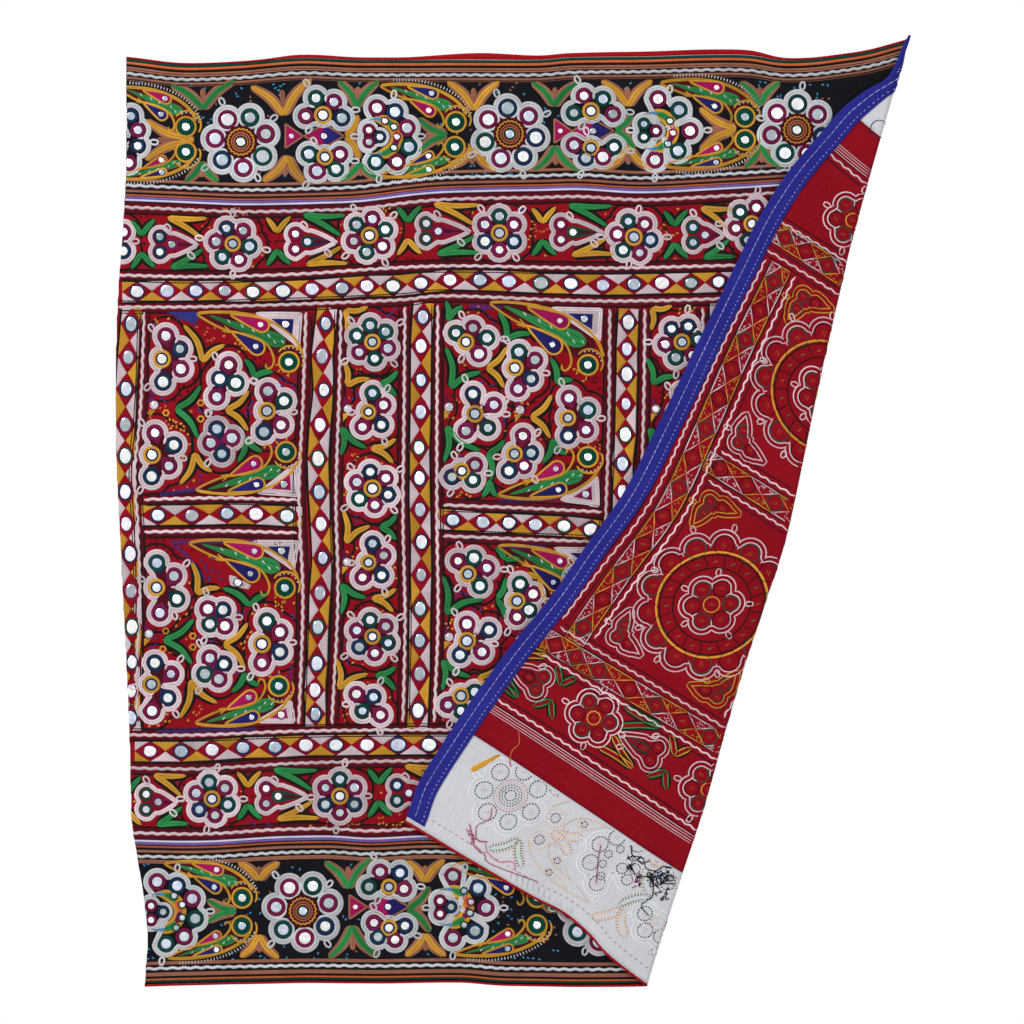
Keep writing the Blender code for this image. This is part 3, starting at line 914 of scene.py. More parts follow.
def diamond_band(cloth, mirrors, first=0, half=10.3, tones="nmnme"):
    """Mirrors in a row, with facing triangles of mustard and white between them."""
    face, back, _ = cloth
    spots = np.array(mirrors, float)
    spots = np.concatenate((2 * spots[:1] - spots[1:2], spots, 2 * spots[-1:] - spots[-2:-1]))
    last = len(spots) - 2
    for i, (start, end) in enumerate(zip(spots, spots[1:])):
        run = (end - start) / math.dist(start, end)
        side = half * np.array((-run[1], run[0]))
        middle = (start + end) / 2
        for sign in (1, -1):
            corners = [start + sign * side, end + sign * side, middle]
            if i == 0:
                corners[0] = middle + sign * side
            if i == last:
                corners[1] = middle + sign * side
            tone = "yw"[(i + (sign > 0) + first) % 2]
            shape = edge_points(enlarged(np.array(corners), 0.97))
            fill(face, shape, tone, lift=0.1, height=0.35, turn=0.4 * sign)
            stipple(back, corners, tone)
        if i < last:
            after = (end + spots[i + 2]) / 2
            swell = np.linspace(-1, 1, 7)[:, None]
            reach = (after - middle) / 2
            arc = end + swell * reach + side * 0.82 * (1 - swell**2)
            lens = np.concatenate((arc, (2 * end - arc)[1:-1]))
            fill(face, lens, "c", lift=0.25, height=0.4)
            oval = 1 + LEVEL_OVAL * abs(run[0]) + UPRIGHT_OVAL * abs(run[1])
            size = 6.2 + 0.35 * chance.standard_normal()
            mirror(cloth, *end, size, tones[i % len(tones)], 2.2, oval=oval)
    line = np.concatenate(((spots[:1] + spots[1:2]) / 2, spots[1:-1], (spots[-2:-1] + spots[-1:]) / 2))
    for distance in (-half - 1.0, half + 1.0):
        stroke(face, beside(line, distance), "k", 2.4, lift=0.2, height=0.6, step=6)
        stroke(back, beside(line, distance), "k", 1.0, rows="thin", step=7)
    for spot in line:
        taken.append((*spot, half + 8))


def evenly(x, start, end, count):
    """Places down one straight column."""
    return [(x, y) for y in np.linspace(start, end, count)]


top_row = [(137, 291.7), (167, 291), (196, 291), (225, 291), (253, 292), (283, 291), (312, 289)]
top_row += [(342, 288), (367, 286), (393, 286), (421, 283.3), (450, 280), (480, 280)]
top_row += [(509, 281.5), (541, 283), (571, 283.5), (603, 285), (634, 284), (662, 283)]
top_row += [(691, 283), (719, 282), (749, 281), (778, 280), (807, 279), (836, 278), (865, 276)]
top_row += [(890, 275), (914, 274)]
lower_row = [(150, 751.3), (181, 751.5), (212, 750), (243, 747.7), (275, 747), (306, 745)]
lower_row += [(x, 745) for x in range(336, 860, 31)]
lower_row += [(868, 745), (895, 745), (919, 745)]
UPRIGHT_BANDS = (
    ([(131, 324), (128, 357), (126, 389), (125, 424.7), (125, 456), (125, 491.8), (126, 524),
      (130, 554), (131, 591), (132, 627), (132, 662), (131, 691), (131, 718)], 0),
    ([(325.8, 323.6), (322, 356), (324, 390), (320, 425), (318, 458.7), (319, 492), (321, 524),
      (322.7, 558), (320, 593), (318, 627), (317, 663.5), (315, 690), (315.6, 714)], 1),
    ([(423, 317), (421, 346), (421, 380), (420.7, 412), (419, 447.7), (419.4, 478), (420, 509.7),
      (421.4, 542), (421, 575), (420, 608.7), (419.6, 640.6), (419.6, 674), (418, 710.7)], 0),
    ([(628.5, 322), (627, 349), (627, 374), (626, 403.8), (625.5, 434.4), (622.4, 463.8)]
     + evenly(623, 492, 713, 8), 1),
    (evenly(720, 318, 713, 13), 0),
    (evenly(905, 318, 716, 13), 1),
)
CROSS_BANDS = (
    [(158, 515.3), (192, 515.6), (227, 513.5), (256, 514), (287, 516)],
    [(453, 520), (483, 522.4), (509, 523), (535.5, 524.5), (564, 526), (591, 529.6)],
    [(751, 516), (782, 515), (814, 514), (846, 513), (877, 512)],
)
WAVY_LINES = (
    [(118, 275), (200, 277), (300, 274), (360, 270), (450, 266), (600, 268), (760, 265), (925, 262)],
    [(118, 307), (200, 307), (300, 304), (400, 300), (450, 296), (600, 301), (760, 298), (925, 294)],
    [(126, 735), (200, 735), (300, 731), (420, 730), (600, 730), (760, 729), (925, 728)],
    [(128, 768), (200, 769), (300, 763), (420, 761), (600, 761), (760, 761), (925, 760)],
    [(144, 312), (141, 400), (135, 470), (138, 530), (140, 600), (137, 660), (137, 727)],
    [(306, 312), (303, 400), (299, 500), (303, 600), (299, 724)],
    [(341, 310), (339, 400), (336, 500), (338, 600), (332, 724)],
    [(405, 307), (404, 420), (403, 520), (405, 620), (403, 722)],
    [(438, 305), (437, 420), (437, 520), (438, 620), (434, 722)],
    [(610, 309), (609, 420), (606, 520), (606, 620), (606, 722)],
    [(645, 309), (644, 400), (641, 520), (640, 620), (640, 722)],
    [(703, 308), (703, 420), (703, 620), (703, 721)],
    [(737, 308), (737, 420), (737, 620), (737, 721)],
    [(889, 303), (888, 420), (888, 620), (889, 720)],
    [(922, 303), (923, 420), (924, 620), (927, 720)],
    [(144, 499.5), (220, 498), (297, 500)],
    [(144, 532), (220, 531), (297, 533)],
    [(443, 505), (520, 508), (602, 512)],
    [(443, 536), (520, 539), (602, 542)],
    [(744, 499), (883, 496)],
    [(744, 532), (883, 529)],
)
bands = new_cloth()
diamond_band(bands, top_row)
diamond_band(bands, lower_row, first=1, tones="mnmnn")
for mirrors, first in UPRIGHT_BANDS:
    diamond_band(bands, mirrors, first)
for mirrors in CROSS_BANDS:
    diamond_band(bands, mirrors)
for line in WAVY_LINES:
    wavy(bands, line)
    for spot in smooth_path(line, 6.0)[0]:
        taken.append((*spot, 8.0))


def mirror_glass(name):
    """Thin hand-blown mirror glass with a painted reflection colour: bright, a little clouded, with
    darker spots at the back.
    """
    material, shader = new_finish(name)
    # On mirrors the thread attribute holds each mirror's painted reflection colour
    dye_and_reflection = node(material, "ShaderNodeAttribute", {}, attribute_name="thread").outputs["Color"]
    place = node(material, "ShaderNodeTexCoord", {}).outputs["Object"]
    cloud = clouds(material, place, 210.0, 4.0)
    veil = ranged(material, cloud, 0.3, 0.6, 0.72, 1.0)
    link(material, shaded(material, dye_and_reflection, veil), shader.inputs["Base Color"])
    scratched = ranged(material, cloud, 0.3, 0.7, 0.35, 0.12)
    link(material, scratched, shader.inputs["Roughness"])
    shader.inputs["Metallic"].default_value = 1.0
    return material


glass = mirror_glass("mirror_glass")
sewn("band_stitches", bands[0], cotton_thread)
sewn("band_reverse", bands[1], cotton_thread)
sewn("band_mirrors", bands[2], glass)


# The mirror flowers of the field: round mirrors in magenta or navy rings, drawn together by
# two rows of white chain stitch that scallop round them, with small loops at the tips.
def places(table):
    """Reads places with a thread colour each, such as 166,336m."""
    spots = (word[:-1].split(",") + [word[-1]] for word in table.split())
    return [(float(x), float(y), tone) for x, y, tone in spots]


def round_all(circles, step=2.4):
    """The outline that runs round all of these circles, seen from their middle."""
    circles = np.array(circles, float)
    middle = circles[:, :2].mean(axis=0)
    offset = circles[:, :2] - middle
    reach = np.hypot(*offset.T).max() + circles[:, 2].max()
    angle = np.linspace(0, 2 * math.pi, int(2 * math.pi * reach / step), endpoint=False)
    aim = np.stack((np.cos(angle), np.sin(angle)), -1)
    near = aim @ offset.T
    beyond = circles[:, 2] ** 2 - (aim[:, :1] * offset[:, 1] - aim[:, 1:] * offset[:, 0]) ** 2
    far = np.where(beyond > 0, near + np.sqrt(np.maximum(beyond, 0)), 3.0).max(axis=1)
    return middle + aim * far[:, None], middle


def white_outline(cloth, circles, loops=3, tone="w", width=5.6, turn=0.0, rim="", spikes=0.0):
    """Two rows of chain stitch round a motif, with small loops outside and spikes inside."""
    face, back, _ = cloth
    outline, middle = round_all(circles)
    stroke(face, outline, tone, width, rows=2, lift=0.3, height=0.85, closed=True, step=3.0)
    stroke(back, outline, tone, width + 0.6, rows="double", height=0.7, closed=True, step=3.8)
    for k in range(loops):
        edge = outline[int(len(outline) * ((k + turn) / loops + 0.03 * (k % 2))) % len(outline)]
        out = (edge - middle) / math.dist(edge, middle)
        side = np.array((-out[1], out[0]))
        around = np.linspace(0, 2 * math.pi, 9)[:-1, None]
        loop = edge + out * (6.6 - 4.2 * np.cos(around)) + side * 2.5 * np.sin(around)
        stroke(face, loop, tone, 2.3, lift=0.8, height=0.75, closed=True, step=2.4)
        stroke(back, loop, tone, 1.5, rows="thin", height=0.6, closed=True, step=3.0)
    far = np.hypot(*(outline - middle).T)
    notches = np.flatnonzero((far < np.roll(far, 1)) & (far <= np.roll(far, -1)))
    for k in notches if spikes else ():
        spike = (outline[k], outline[k] + (middle - outline[k]) * min(0.5, spikes / far[k]))
        stroke(face, spike, tone, 3.2, lift=0.35, height=0.6)
        stroke(back, spike, tone, 1.4, rows="thin", height=0.6)
    if rim:
        wider, _ = round_all([(x, y, reach + 8.0) for x, y, reach in circles], 3.2)
        stroke(face, wider, rim, 3.0, lift=0.0, height=0.35, closed=True, step=3.4)
    for x, y, reach in circles:
        taken.append((x, y, reach + 3.5))
    return outline


def mirror_flower(cloth, table, size=5.3, loops=3, tone="w", rim="k"):
    """Mirrors side by side, all within one scalloped white outline."""
    spots = places(table)
    circles = [(x, y, size + 5.9) for x, y, _ in spots]
    outline = white_outline(cloth, circles, loops, tone, turn=spots[0][0], rim=rim, spikes=7.5)
    middle = outline.mean(axis=0)
    if rim:
        fill(cloth[0], enlarged(outline[::2], 0.9), "r", lift=0.02, height=0.12)
    for x, y, ring_tone in spots:
        inward = (middle - (x, y)) / max(3.0, math.dist(middle, (x, y)))
        if ring_tone != "y" and rim:
            tip = (x, y) + inward * (size + 6.5)
            drop = [(x, y, 2 * size), (*(0.5 * (tip + (x, y))), 1.9 * size), (*tip, 1.0)]
            stroke(cloth[0], drop, ring_tone, rows=3, lift=0.25, height=0.35, step=2.5)
        mirror(cloth, x, y, size * (1 + 0.06 * chance.standard_normal()), ring_tone)


def petals(x, y, tones, reach=17.0, start=-98.0):
    """Names the places of petals that are set evenly round a middle."""
    turn = [math.radians(start + 360 * k / len(tones)) for k in range(len(tones))]
    ring_places = (
        f"{x + reach * math.cos(a):.1f},{y + reach * math.sin(a):.1f}{tone}"
        for a, tone in zip(turn, tones)
    )
    return " ".join(ring_places)


FIELD_FLOWERS = (
    # Left panels
    "162,359y 166,336m 180,349n 181,369m 163,382n",
    "152,455y 155,433m 174,445n 169,466m 151.5,476.5n",
    "229,365m 220,379n 236,383n 217,397m",
    "217,429n 232,438m 211,443m 222,454n",
    "267,411y 268,391m 284,401n 281,425m 264,432n",
    "156.6,587.5y 157,563n 174,576m 177,599n 160,613m",
    "151.5,684.4y 155,663n 171,674m 168,698n 152,711m",
    "208,609m 223,610n 210,624n 225,626m",
    "210,658m 224,664n 205,674n 219,679m",
    "262,644y 267,621n 280,632m 280,652n 262,663m",
    # Middle panels
    "466,342y 456,333n 473,328m 487,338n 479,354m",
    "515,368y 519,352n 535,360m 531,379n 518,389m",
    "475,414y 473,394n 494,405m 466,431m 488,428n",
    "462,471y 452,477n 475,465m 473,480n",
    "514.5,454y 523,436m 531,453n 524,466m 509,471n",
    "568,418y 569,398m 588,410n 586,430m 568,436n",
    "468,574y 458,561m 474,558n 487,568m 480,586n",
    "517,601y 520,584n 533,594m 529,610n 517,617m",
    "467,641y 467,624m 489,630n 482,652m 460,655n",
    "461,696y 448,705m 461,711n 475,692n",
    "568,645y 567,622n 585,632m 584,655n 566,666m",
    "515,690y 523,672m 531,689n 524,703m 509,708n",
    "585,590y 574,578m 596,580n 590,603m",
)
field_flowers = new_cloth()
for table in FIELD_FLOWERS:
    mirror_flower(field_flowers, table, 5.0 if table[0] in "45" else 5.4)
for middle_x, mirrors in ((368.5, 0), (678.0, 1)):
    for y, tones in ((342, "nnmnmn"), (488.5, "nmnmnm"), (636.7, "nmnmnm")):
        table = f"{middle_x + 4},{y}y " + petals(middle_x + 4, y, tones, 16.8, -98 + 30 * mirrors)
        mirror_flower(field_flowers, table, 4.8, loops=4)
    for y in (412, 562.5):
        x = middle_x
        table = f"{x},{y}y {x + 4},{y - 19}n {x + 15},{y - 7}m {x + 13},{y + 13}n {x - 6},{y + 15}m"
        mirror_flower(field_flowers, table, 4.8)
    x = middle_x
    mirror_flower(field_flowers, f"{x - 12},694m {x + 5},697n {x - 6},711n {x + 12},715m", 4.9)

# The two great rosettes of the outer panels, with a ring of petals round a ring of segments
ROSETTES = ((812, 393), (811, 632))
for x, y in ROSETTES:
    rim = petals(x, y, "nmnmnmnmnmnmnm", 61, -90)
    white_outline(field_flowers, [(a, b, 13.8) for a, b, _ in places(rim)], loops=9, spikes=4.0)
    for a, b, tone in places(rim):
        mirror(field_flowers, a, b, 7.4, tone)
    for radius, tone, width in ((54, "y", 2.6), (51, "k", 1.4), (38, "k", 1.6)):
        for work in field_flowers[:2]:
            ring(work, x, y, radius, width, tone, rows="thin", height=0.6)
    for a, b, tone in places(petals(x, y, "mnemnemnemnemnem", 44.5, -80)):
        for work in field_flowers[:2]:
            stroke(work, ((a - 2, b - 2), (a + 1, b + 2)), "go"[tone == "n"], 1.3, rows="thin")
        inward = np.array((x - a, y - b)) / 44.5
        side = np.array((a, b)) + 8.7 * np.array((-inward[1], inward[0]))
        for work in field_flowers[:2]:
            stroke(work, (side - 6 * inward, side + 6 * inward), "k", 1.2, rows="thin")
    mirror_flower(field_flowers, f"{x},{y}y " + petals(x, y, "mnmnmn", 18.5, -85), 5.6, loops=5)
# Sprigs in the corners round each rosette: place, way across, way down, colour
CORNER_SPRIGS = (
    (873, 316, -1, 1, "y"), (871, 480, -1, -1, "w"), (753, 316, 1, 1, "w"), (753, 482, 1, -1, "y"),
    (872, 546, -1, 1, "y"), (872, 707, -1, -1, "w"), (753, 546, 1, 1, "w"), (753, 707, 1, -1, "y"),
)
for x, y, across, down, tone in CORNER_SPRIGS:
    circles = [(x, y, 8.8)]
    for reach, width in ((13, 8.6), (19, 6.6), (25, 3.8), (31, 1.2)):
        circles += [(x + across * reach, y - 0.12 * down * reach, width),
                    (x - 0.12 * across * reach, y + down * reach, width)]
    white_outline(field_flowers, circles, 1, tone, 5.0)
    for a, b, ring_tone in ((x, y, "n"), (x + 14 * across, y, "m"), (x, y + 14 * down, "n")):
        mirror(field_flowers, a, b, 4.0, ring_tone, 2.6)
sewn("field_flowers", field_flowers[0], cotton_thread)
sewn("field_flowers_reverse", field_flowers[1], cotton_thread)
sewn("field_mirrors", field_flowers[2], glass)


# The leaves of the field: pairs of curved leaves in mustard or green that meet at a point,
# each filled with two rows of chain stitch inside a black line.
def leaf(cloth, points, tone, width=6.6, edge="k"):
    """One leaf along a line, with its dark line round it."""
    face, back, _ = cloth
    points = np.asarray(points, float)[:, :2]
    swell = np.interp(np.linspace(0, 1, len(points)), (0, 0.3, 0.7, 1), (0.95, 1, 1, 0.62))
    around = np.column_stack((points, (width + (5.0 if edge == "t" else 6.4)) * swell))
    stroke(face, around, edge, rows=3, lift=0.05, height=0.4, step=3.4)
    leaf_line = np.column_stack((points, width * swell))
    stroke(face, leaf_line, tone, rows=2, lift=0.35, height=0.85, step=3.0)
    stroke(back, points, tone, width, rows="double", height=0.5, step=4.5)
    stroke(back, points, edge, width + 4.4, rows="double", height=0.4, step=4.5)
    for x, y in smooth_path(points, 5.0)[0]:
        taken.append((x, y, width / 2 + 4))


def leaf_pair(cloth, tone, apex, *arms, edge="k", width=7.0, bow=0.10):
    """Leaves that leave one point and bow apart."""
    apex = np.array(apex, float)
    middle = np.mean(arms, axis=0)
    for arm in np.array(arms, float):
        run = (arm - apex) * (1.1 if edge == "t" else 1.0)
        side = np.array((-run[1], run[0]))
        side *= np.sign(side @ (arm - middle) + 1e-9)
        leaf(cloth, (apex, apex + 0.5 * run - bow * side, apex + run), tone, width, edge)
    if edge == "t":
        swelling = ((0.3, 2), (0.6, 5.5), (0.85, 6))
        bud = [(*(apex + reach * (middle - apex)), wide) for reach, wide in swelling]
        stroke(cloth[0], bud, "t", rows=2, lift=0.3, height=0.6)


def leaf_pairs(cloth, table, **how):
    """Reads leaf pairs: colour, point where they meet, and their free ends."""
    for line in table.strip().split("\n"):
        tone, *spots = line.split()
        leaf_pair(cloth, tone, *(tuple(map(float, spot.split(","))) for spot in spots), **how)


FIELD_LEAVES = """y 203,362 184,325 225,345
g 254,377 245,359 273,372
g 176,409 201,386 198,438
y 226,410 249,391 248,431
y 195,453 180,484 212,472
g 246,437 238,462 262,452
y 197,594 192,562 220,588
g 250,606 223,588 268,594
g 164,640 194,619 192,664
y 224,644 248,623 245,669
y 191,680 180,718 217,703
g 245,673 232,692 259,686
y 345,310 346,331 368,307
y 347,386 344,361 370,379
g 380,384 398,371 396,396
g 342,427 341,455 366,448
y 371,448 396,439 393,463
y 346,543 343,510 370,526
g 380,527 397,515 396,540
g 342,584 341,614 366,598
y 372,598 396,589 393,612
y 339,689 337,659 368,674
g 376,675 396,667 395,690
g 448,321 446,301 463,306
g 451,388 446,347 481,372
y 487,368 507,347 504,388
g 507,339 499,312 531,334
g 557,384 551,358 573,380
y 531,417 552,395 550,438
g 447,426 444,462 480,451
g 488,453 505,440 491,480
g 490,480 482,497 497,497
g 553,439 543,463 566,455
g 446,614 443,576 484,599
g 497,599 506,578 505,619
g 505,560 496,548 521,560
g 443,660 442,690 470,677
y 478,678 505,661 500,712
y 540,577 527,572 549,605
y 546,650 560,628 558,676
g 653,384 647,358 676,376
y 652,308 651,330 672,306
g 650,428 648,455 674,448
y 680,448 704,439 700,463
y 654,543 651,510 678,526
g 650,584 649,614 674,598
y 648,689 646,659 676,674"""
FIELD_DOTS = ((201, 403), (201, 419), (166, 413), (166, 631), (163, 649), (193, 636), (193, 647))
field_leaves = new_cloth()
leaf_pairs(field_leaves, FIELD_LEAVES)
for x, y in FIELD_DOTS:
    ring(field_leaves[0], x, y, 3.0, 2.4, "y")
    taken.append((x, y, 6))


# The red borders above and below the panels: a mirror flower and a pointed heart in turn, with
# leaves crossed between them and bent leaves above and below each heart.
def heart(cloth, x, y, reach, tones, lean=0.0, size=4.2):
    """A heart of three mirrors that points to the right."""
    face, back, _ = cloth
    lobes = [(x, y - 7.6, size + 5.6), (x, y + 7.6, size + 5.6)]
    for share in np.linspace(0.36, 1.0, 8):
        lobes.append((x + share * (reach - 2), y + lean * share, 1.2 + 13.5 * (1 - share**1.35)))
    white_outline(cloth, lobes, loops=2, width=4.8, turn=0.25)
    drop = [(x + 5, y + lean * 0.1, 3), (x + 12, y + lean * 0.3, 12),
            (x + 0.62 * reach, y + lean * 0.6, 7), (x + 0.85 * reach, y + lean * 0.85, 1.5)]
    stroke(face, drop, tones[2], rows=3, lift=0.2, height=0.5)
    stroke(face, [(a, b, 0.5 * w) for a, b, w in drop[1:]], "r", rows=2, lift=0.6, height=0.3)
    stroke(back, drop, {"m": "r"}.get(tones[2], "e"), rows="double", height=0.5)
    mirror(cloth, x, y - 7.6, size, tones[0], 2.7)
    mirror(cloth, x, y + 7.6, size, tones[1], 2.7)
    mirror(cloth, x + 12, y + lean * 0.3, size, tones[2], 2.5)


HEARTS = (
    (160, 244.5, 38), (295.5, 241.5, 41), (426.3, 231, 44), (561, 232, 42), (693, 235, 31),
    (800, 228, 36), (146, 802, 31), (266.3, 796, 42), (397, 793, 42), (520, 791, 40),
    (650, 790, 40), (778, 788, 40), (912, 786, 36),
)
RED_BORDER_FLOWERS = (
    (233, 244, -112), (369.6, 235.5, -140), (499.5, 233, -90), (634, 237, -110), (752, 224, -75),
    (864, 224, -95), (212, 799, -100), (340, 796, -90), (462, 794, -80), (588, 793, -110),
    (713, 791, -95), (848, 788, -105),
)
red_borders = new_cloth()
for n, (x, y, reach) in enumerate(HEARTS):
    heart(red_borders, x, y, reach, ("nnm", "mmn", "ddm", "mmd")[n % 4], lean=0.5)
    above, below = ("yg", "gy")[n % 2]
    left_above, left_below = ("gg", "yg", "gy", "yg")[n % 4]
    width = reach + 9
    leaf_pairs(red_borders, f"""{above} {x + 8},{y - 27} {x + width},{y - 26} {x + width - 5},{y - 6}
{below} {x + 11},{y + 23} {x + width + 2},{y + 22} {x + width - 4},{y + 5}
{left_above} {x - 18.5},{y - 9} {x - 29},{y - 24} {x - 5},{y - 25}
{left_below} {x - 18.5},{y + 8} {x - 29},{y + 24} {x - 5},{y + 23}""", width=6.6, bow=0.03)
for x, y, start in RED_BORDER_FLOWERS:
    tones = "mnmnmn" if start % 2 else "nmnmnm"
    mirror_flower(red_borders, f"{x},{y}y " + petals(x, y, tones, 16.8, start), 4.8, loops=4)
mirror_flower(red_borders, "123,232m 123,251n 109,241m", 5.0)
sewn("red_border_stitches", red_borders[0], cotton_thread)
sewn("red_border_reverse", red_borders[1], cotton_thread)
sewn("red_border_mirrors", red_borders[2], glass)
sewn("field_leaves", field_leaves[0], cotton_thread)
sewn("field_leaves_reverse", field_leaves[1], cotton_thread)


# The embroidery of the black borders: great seven-petalled flowers, pairs of small ones,
# crescents and paired birds, with brown-edged leaves between them and a grey-white outline.
def great_middle(cloth, x, y):
    """The stitched disc in the middle of a great flower, with a small mirror."""
    face = cloth[0]
    fill(face, circle(x, y, 16.8, 40), "r", lift=0.6, height=0.5)
    ring(face, x, y, 15.6, 2.4, "r", lift=0.7, height=0.7)
    saw = 12.9 + 0.9 * np.where(np.arange(40) % 2, 1, -1)
    stroke(face, circle(x, y, saw, 40), "y", 2.0, lift=0.9, height=0.7, closed=True, step=1.6)
    ring(face, x, y, 9.4, 2.4, "t", lift=0.8, height=0.7)
    ring(face, x, y, 7.0, 2.0, "o", lift=0.9, height=0.7)
    mirror(cloth, x, y, 4.2, "e", 2.0, lift=0.7)
    for reach, tone, width in ((16.4, "m", 1.7), (13.6, "o", 1.2), (11.0, "k", 1.0), (8.4, "k", 0.9)):
        ring(cloth[1], x, y, reach, width, tone, rows="thin", height=0.5, step=3.0)


def crescent(cloth, table, inner, segments, size=5.6):
    """A half ring of mirrors round a coloured crescent and a small three-mirror heart."""
    face = cloth[0]
    outer, heart_places = places(table), places(inner)
    circles = [(x, y, size + 5.7) for x, y, _ in outer]
    circles += [(x, y, 9.4) for x, y, _ in heart_places]
    white_outline(cloth, circles, loops=4, tone="s")
    for x, y, tone in outer:
        mirror(cloth, x, y, size, tone)
    x, y, _ = heart_places[-1]
    angle = np.radians(np.linspace(-112, 112, 13))
    path = np.stack((x - 4 + 21.0 * np.cos(angle), y + 18.0 * np.sin(angle)), -1)
    width = 13.0 * np.clip(1.25 - np.abs(np.linspace(-1.15, 1.15, 13)) ** 3, 0.12, 1)
    stroke(face, np.column_stack((path, width)), "y", rows=3, lift=0.3, height=0.6)
    for k, tone in enumerate("lgomgl"):
        patch = path[2 * k : 2 * k + 3]
        slim = 0.62 * width[2 * k : 2 * k + 3]
        stroke(face, np.column_stack((patch, slim)), tone, rows=2, lift=0.75, height=0.5, step=1.8)
    for spot in segments.split():
        a, b = map(float, spot.split(","))
        mirror(cloth, a, b, 2.9, "m" if a % 2 else "e", 1.6, lift=0.8)
    white_outline(cloth, [(a, b, 8.2) for a, b, _ in heart_places], 0, "s", 3.6)
    for a, b, tone in heart_places:
        mirror(cloth, a, b, 3.8, tone, 2.5)


def teardrop(cloth, start, end, width, tone, glass_size=3.0):
    """A mustard-edged drop with a mirror in its round end."""
    start, end = np.array(start, float), np.array(end, float)
    run = (end - start) / math.dist(start, end)
    side = np.array((-run[1], run[0]))
    turn = np.radians(np.linspace(-105, 105, 11))[:, None]
    round_end = end + 0.5 * width * (np.cos(turn) * run + np.sin(turn) * side)
    border = np.concatenate((
        start[None], 0.5 * (start + round_end[:1]) - 0.05 * width * side, round_end,
        0.5 * (start + round_end[-1:]) + 0.05 * width * side,
    ))
    fill(cloth[0], border, tone, lift=0.7, height=0.4)
    stroke(cloth[0], enlarged(border, 1.08), "y", 2.5, lift=0.7, height=0.75, closed=True, step=2.0)
    stroke(cloth[1], enlarged(border, 1.1), "y", 1.2, rows="thin", closed=True, step=3.0)
    mirror(cloth, *(end - 0.12 * width * run), glass_size, tone, 0.6, lift=0.6)


def bird(cloth, head, tail, outer, wings, plump=1.0, dashed=False):
    """A bird side on: green body in mustard lines, two wing drops and a round mirror head."""
    face, back, _ = cloth
    head = np.array(head, float)
    run = np.array(tail, float) - head
    share = math.hypot(*run) / 103
    run /= math.hypot(*run)
    side = outer * np.array((-run[1], run[0]))
    grown = share * plump

    def spots(*rows):
        """Places by reach from head to tail, lift towards the back, and widths."""
        return [(*(head + share * reach * run + grown * lift * side), *(grown * w for w in wide))
                for reach, lift, *wide in rows]

    body = spots((0, 10, 16), (18, 12, 29), (42, 13, 30), (66, 9, 20), (90, 3, 8), (103, 0, 2))
    stroke(face, body, "r", rows=3, lift=0.05, height=0.3, step=4.0)
    green = spots((12, 15, 12), (24, 13, 17), (42, 11, 11), (62, 8, 8), (92, 4, 2))
    stroke(face, green, "g", rows=3, lift=0.3, height=0.6, step=4.0)
    back_line = spots((-8, 14), (5, 23), (24, 27), (45, 26), (67, 20), (90, 9), (104, 0))
    under_line = spots((104, -1), (87, -2), (70, -1), (43, 6), (27, 5), (15, -4), (13, -13),
                       (17, -16), (20, -12))
    for work in (face, back):
        wide, rows = (3.4, 2) if work is face else (1.3, "thin")
        stroke(work, [p[:2] for p in back_line], "y", wide, rows, lift=0.5, height=0.6)
        stroke(work, [p[:2] for p in under_line], "y", 0.7 * wide, rows, lift=0.5, height=0.7)
    for reach, lift in ((15, 15), (22, 11), (30, 14), (46, 11), (58, 10), (72, 8)):
        fleck = spots((reach - 2, lift - 1), (reach + 2, lift + 1))
        stroke(face, fleck, "s", 1.7, lift=1.0, height=0.5, step=1.5)
    teardrop(cloth, *spots((71, 15), (41, 20)), 13.0 * grown, wings[0])
    teardrop(cloth, *spots((62, 0), (35, -2)), 14.0 * grown, wings[1])
    for part in (-4, -1, 2):
        stroke(face, spots((64, -1), (74, part)), "y", 1.9, lift=0.5, height=0.6)
    x, y = head
    fill(face, circle(x, y, 8.6, 22), "d", 0.6, 0.5)
    ring(face, x, y, 9.9, 2.6, "y", lift=0.6, height=0.8)
    ring(back, x, y, 9.6, 1.6, "y", rows="thin", height=0.5)
    for reach, low, high, tone, width in ((13.8, -95, 85, "y", 2.2), (12.0, -52, 60, "s", 1.5)):
        aim = np.radians(np.linspace(low, high, 12))[:, None]
        crest = head + 2.6 * side + reach * (np.cos(aim) * side + np.sin(aim) * run)
        if tone == "y":
            stroke(face, crest, tone, width, lift=0.6, height=0.7, step=2.0)
        else:
            for start, end in list(zip(crest, crest[1:]))[::2]:
                stroke(face, (start, end), tone, width, lift=0.9, height=0.7, step=1.6)
    mirror(cloth, x, y, 4.1, "d", 1.2, lift=0.6)
    if dashed:
        path, _ = smooth_path([p[:2] for p in back_line[:-1]], 3.1)
        for start, aim in zip(beside(path, 2.8 * outer), beside(path, 6.0 * outer)):
            stroke(face, (start, aim), "s", 1.6, lift=0.3, height=0.7, step=1.7)
    else:
        for reach in (-5.0, 4.0):
            foot = head - side * 10 + run * reach
            stroke(face, (foot, foot - side * 4.5 + run * reach * 0.3), "y", 2.0, lift=0.4)
    for px, py, wide in body:
        taken.append((px, py, 0.5 * wide + 6))


def framed_shape(cloth, corners, tones, glass_size=3.2, rim="t"):
    """A small shape of two colours round a mirror, inside a line."""
    face = cloth[0]
    corners = np.array(corners, float)
    middle = corners.mean(axis=0)
    halves = (corners,) if len(tones) == 1 else (corners[[3, 0, 1]], corners[[1, 2, 3]])
    for part, tone in zip(halves, tones):
        fill(face, edge_points(part, 3.0), tone, lift=0.3, height=0.5)
    stroke(face, edge_points(enlarged(corners, 1.1), 3.0), rim, 2.4, lift=0.3, closed=True, step=2.0)
    mirror(cloth, *middle, glass_size, tones[-1], 1.4)
    for corner in corners:
        taken.append((*(0.5 * (corner + middle)), 9))


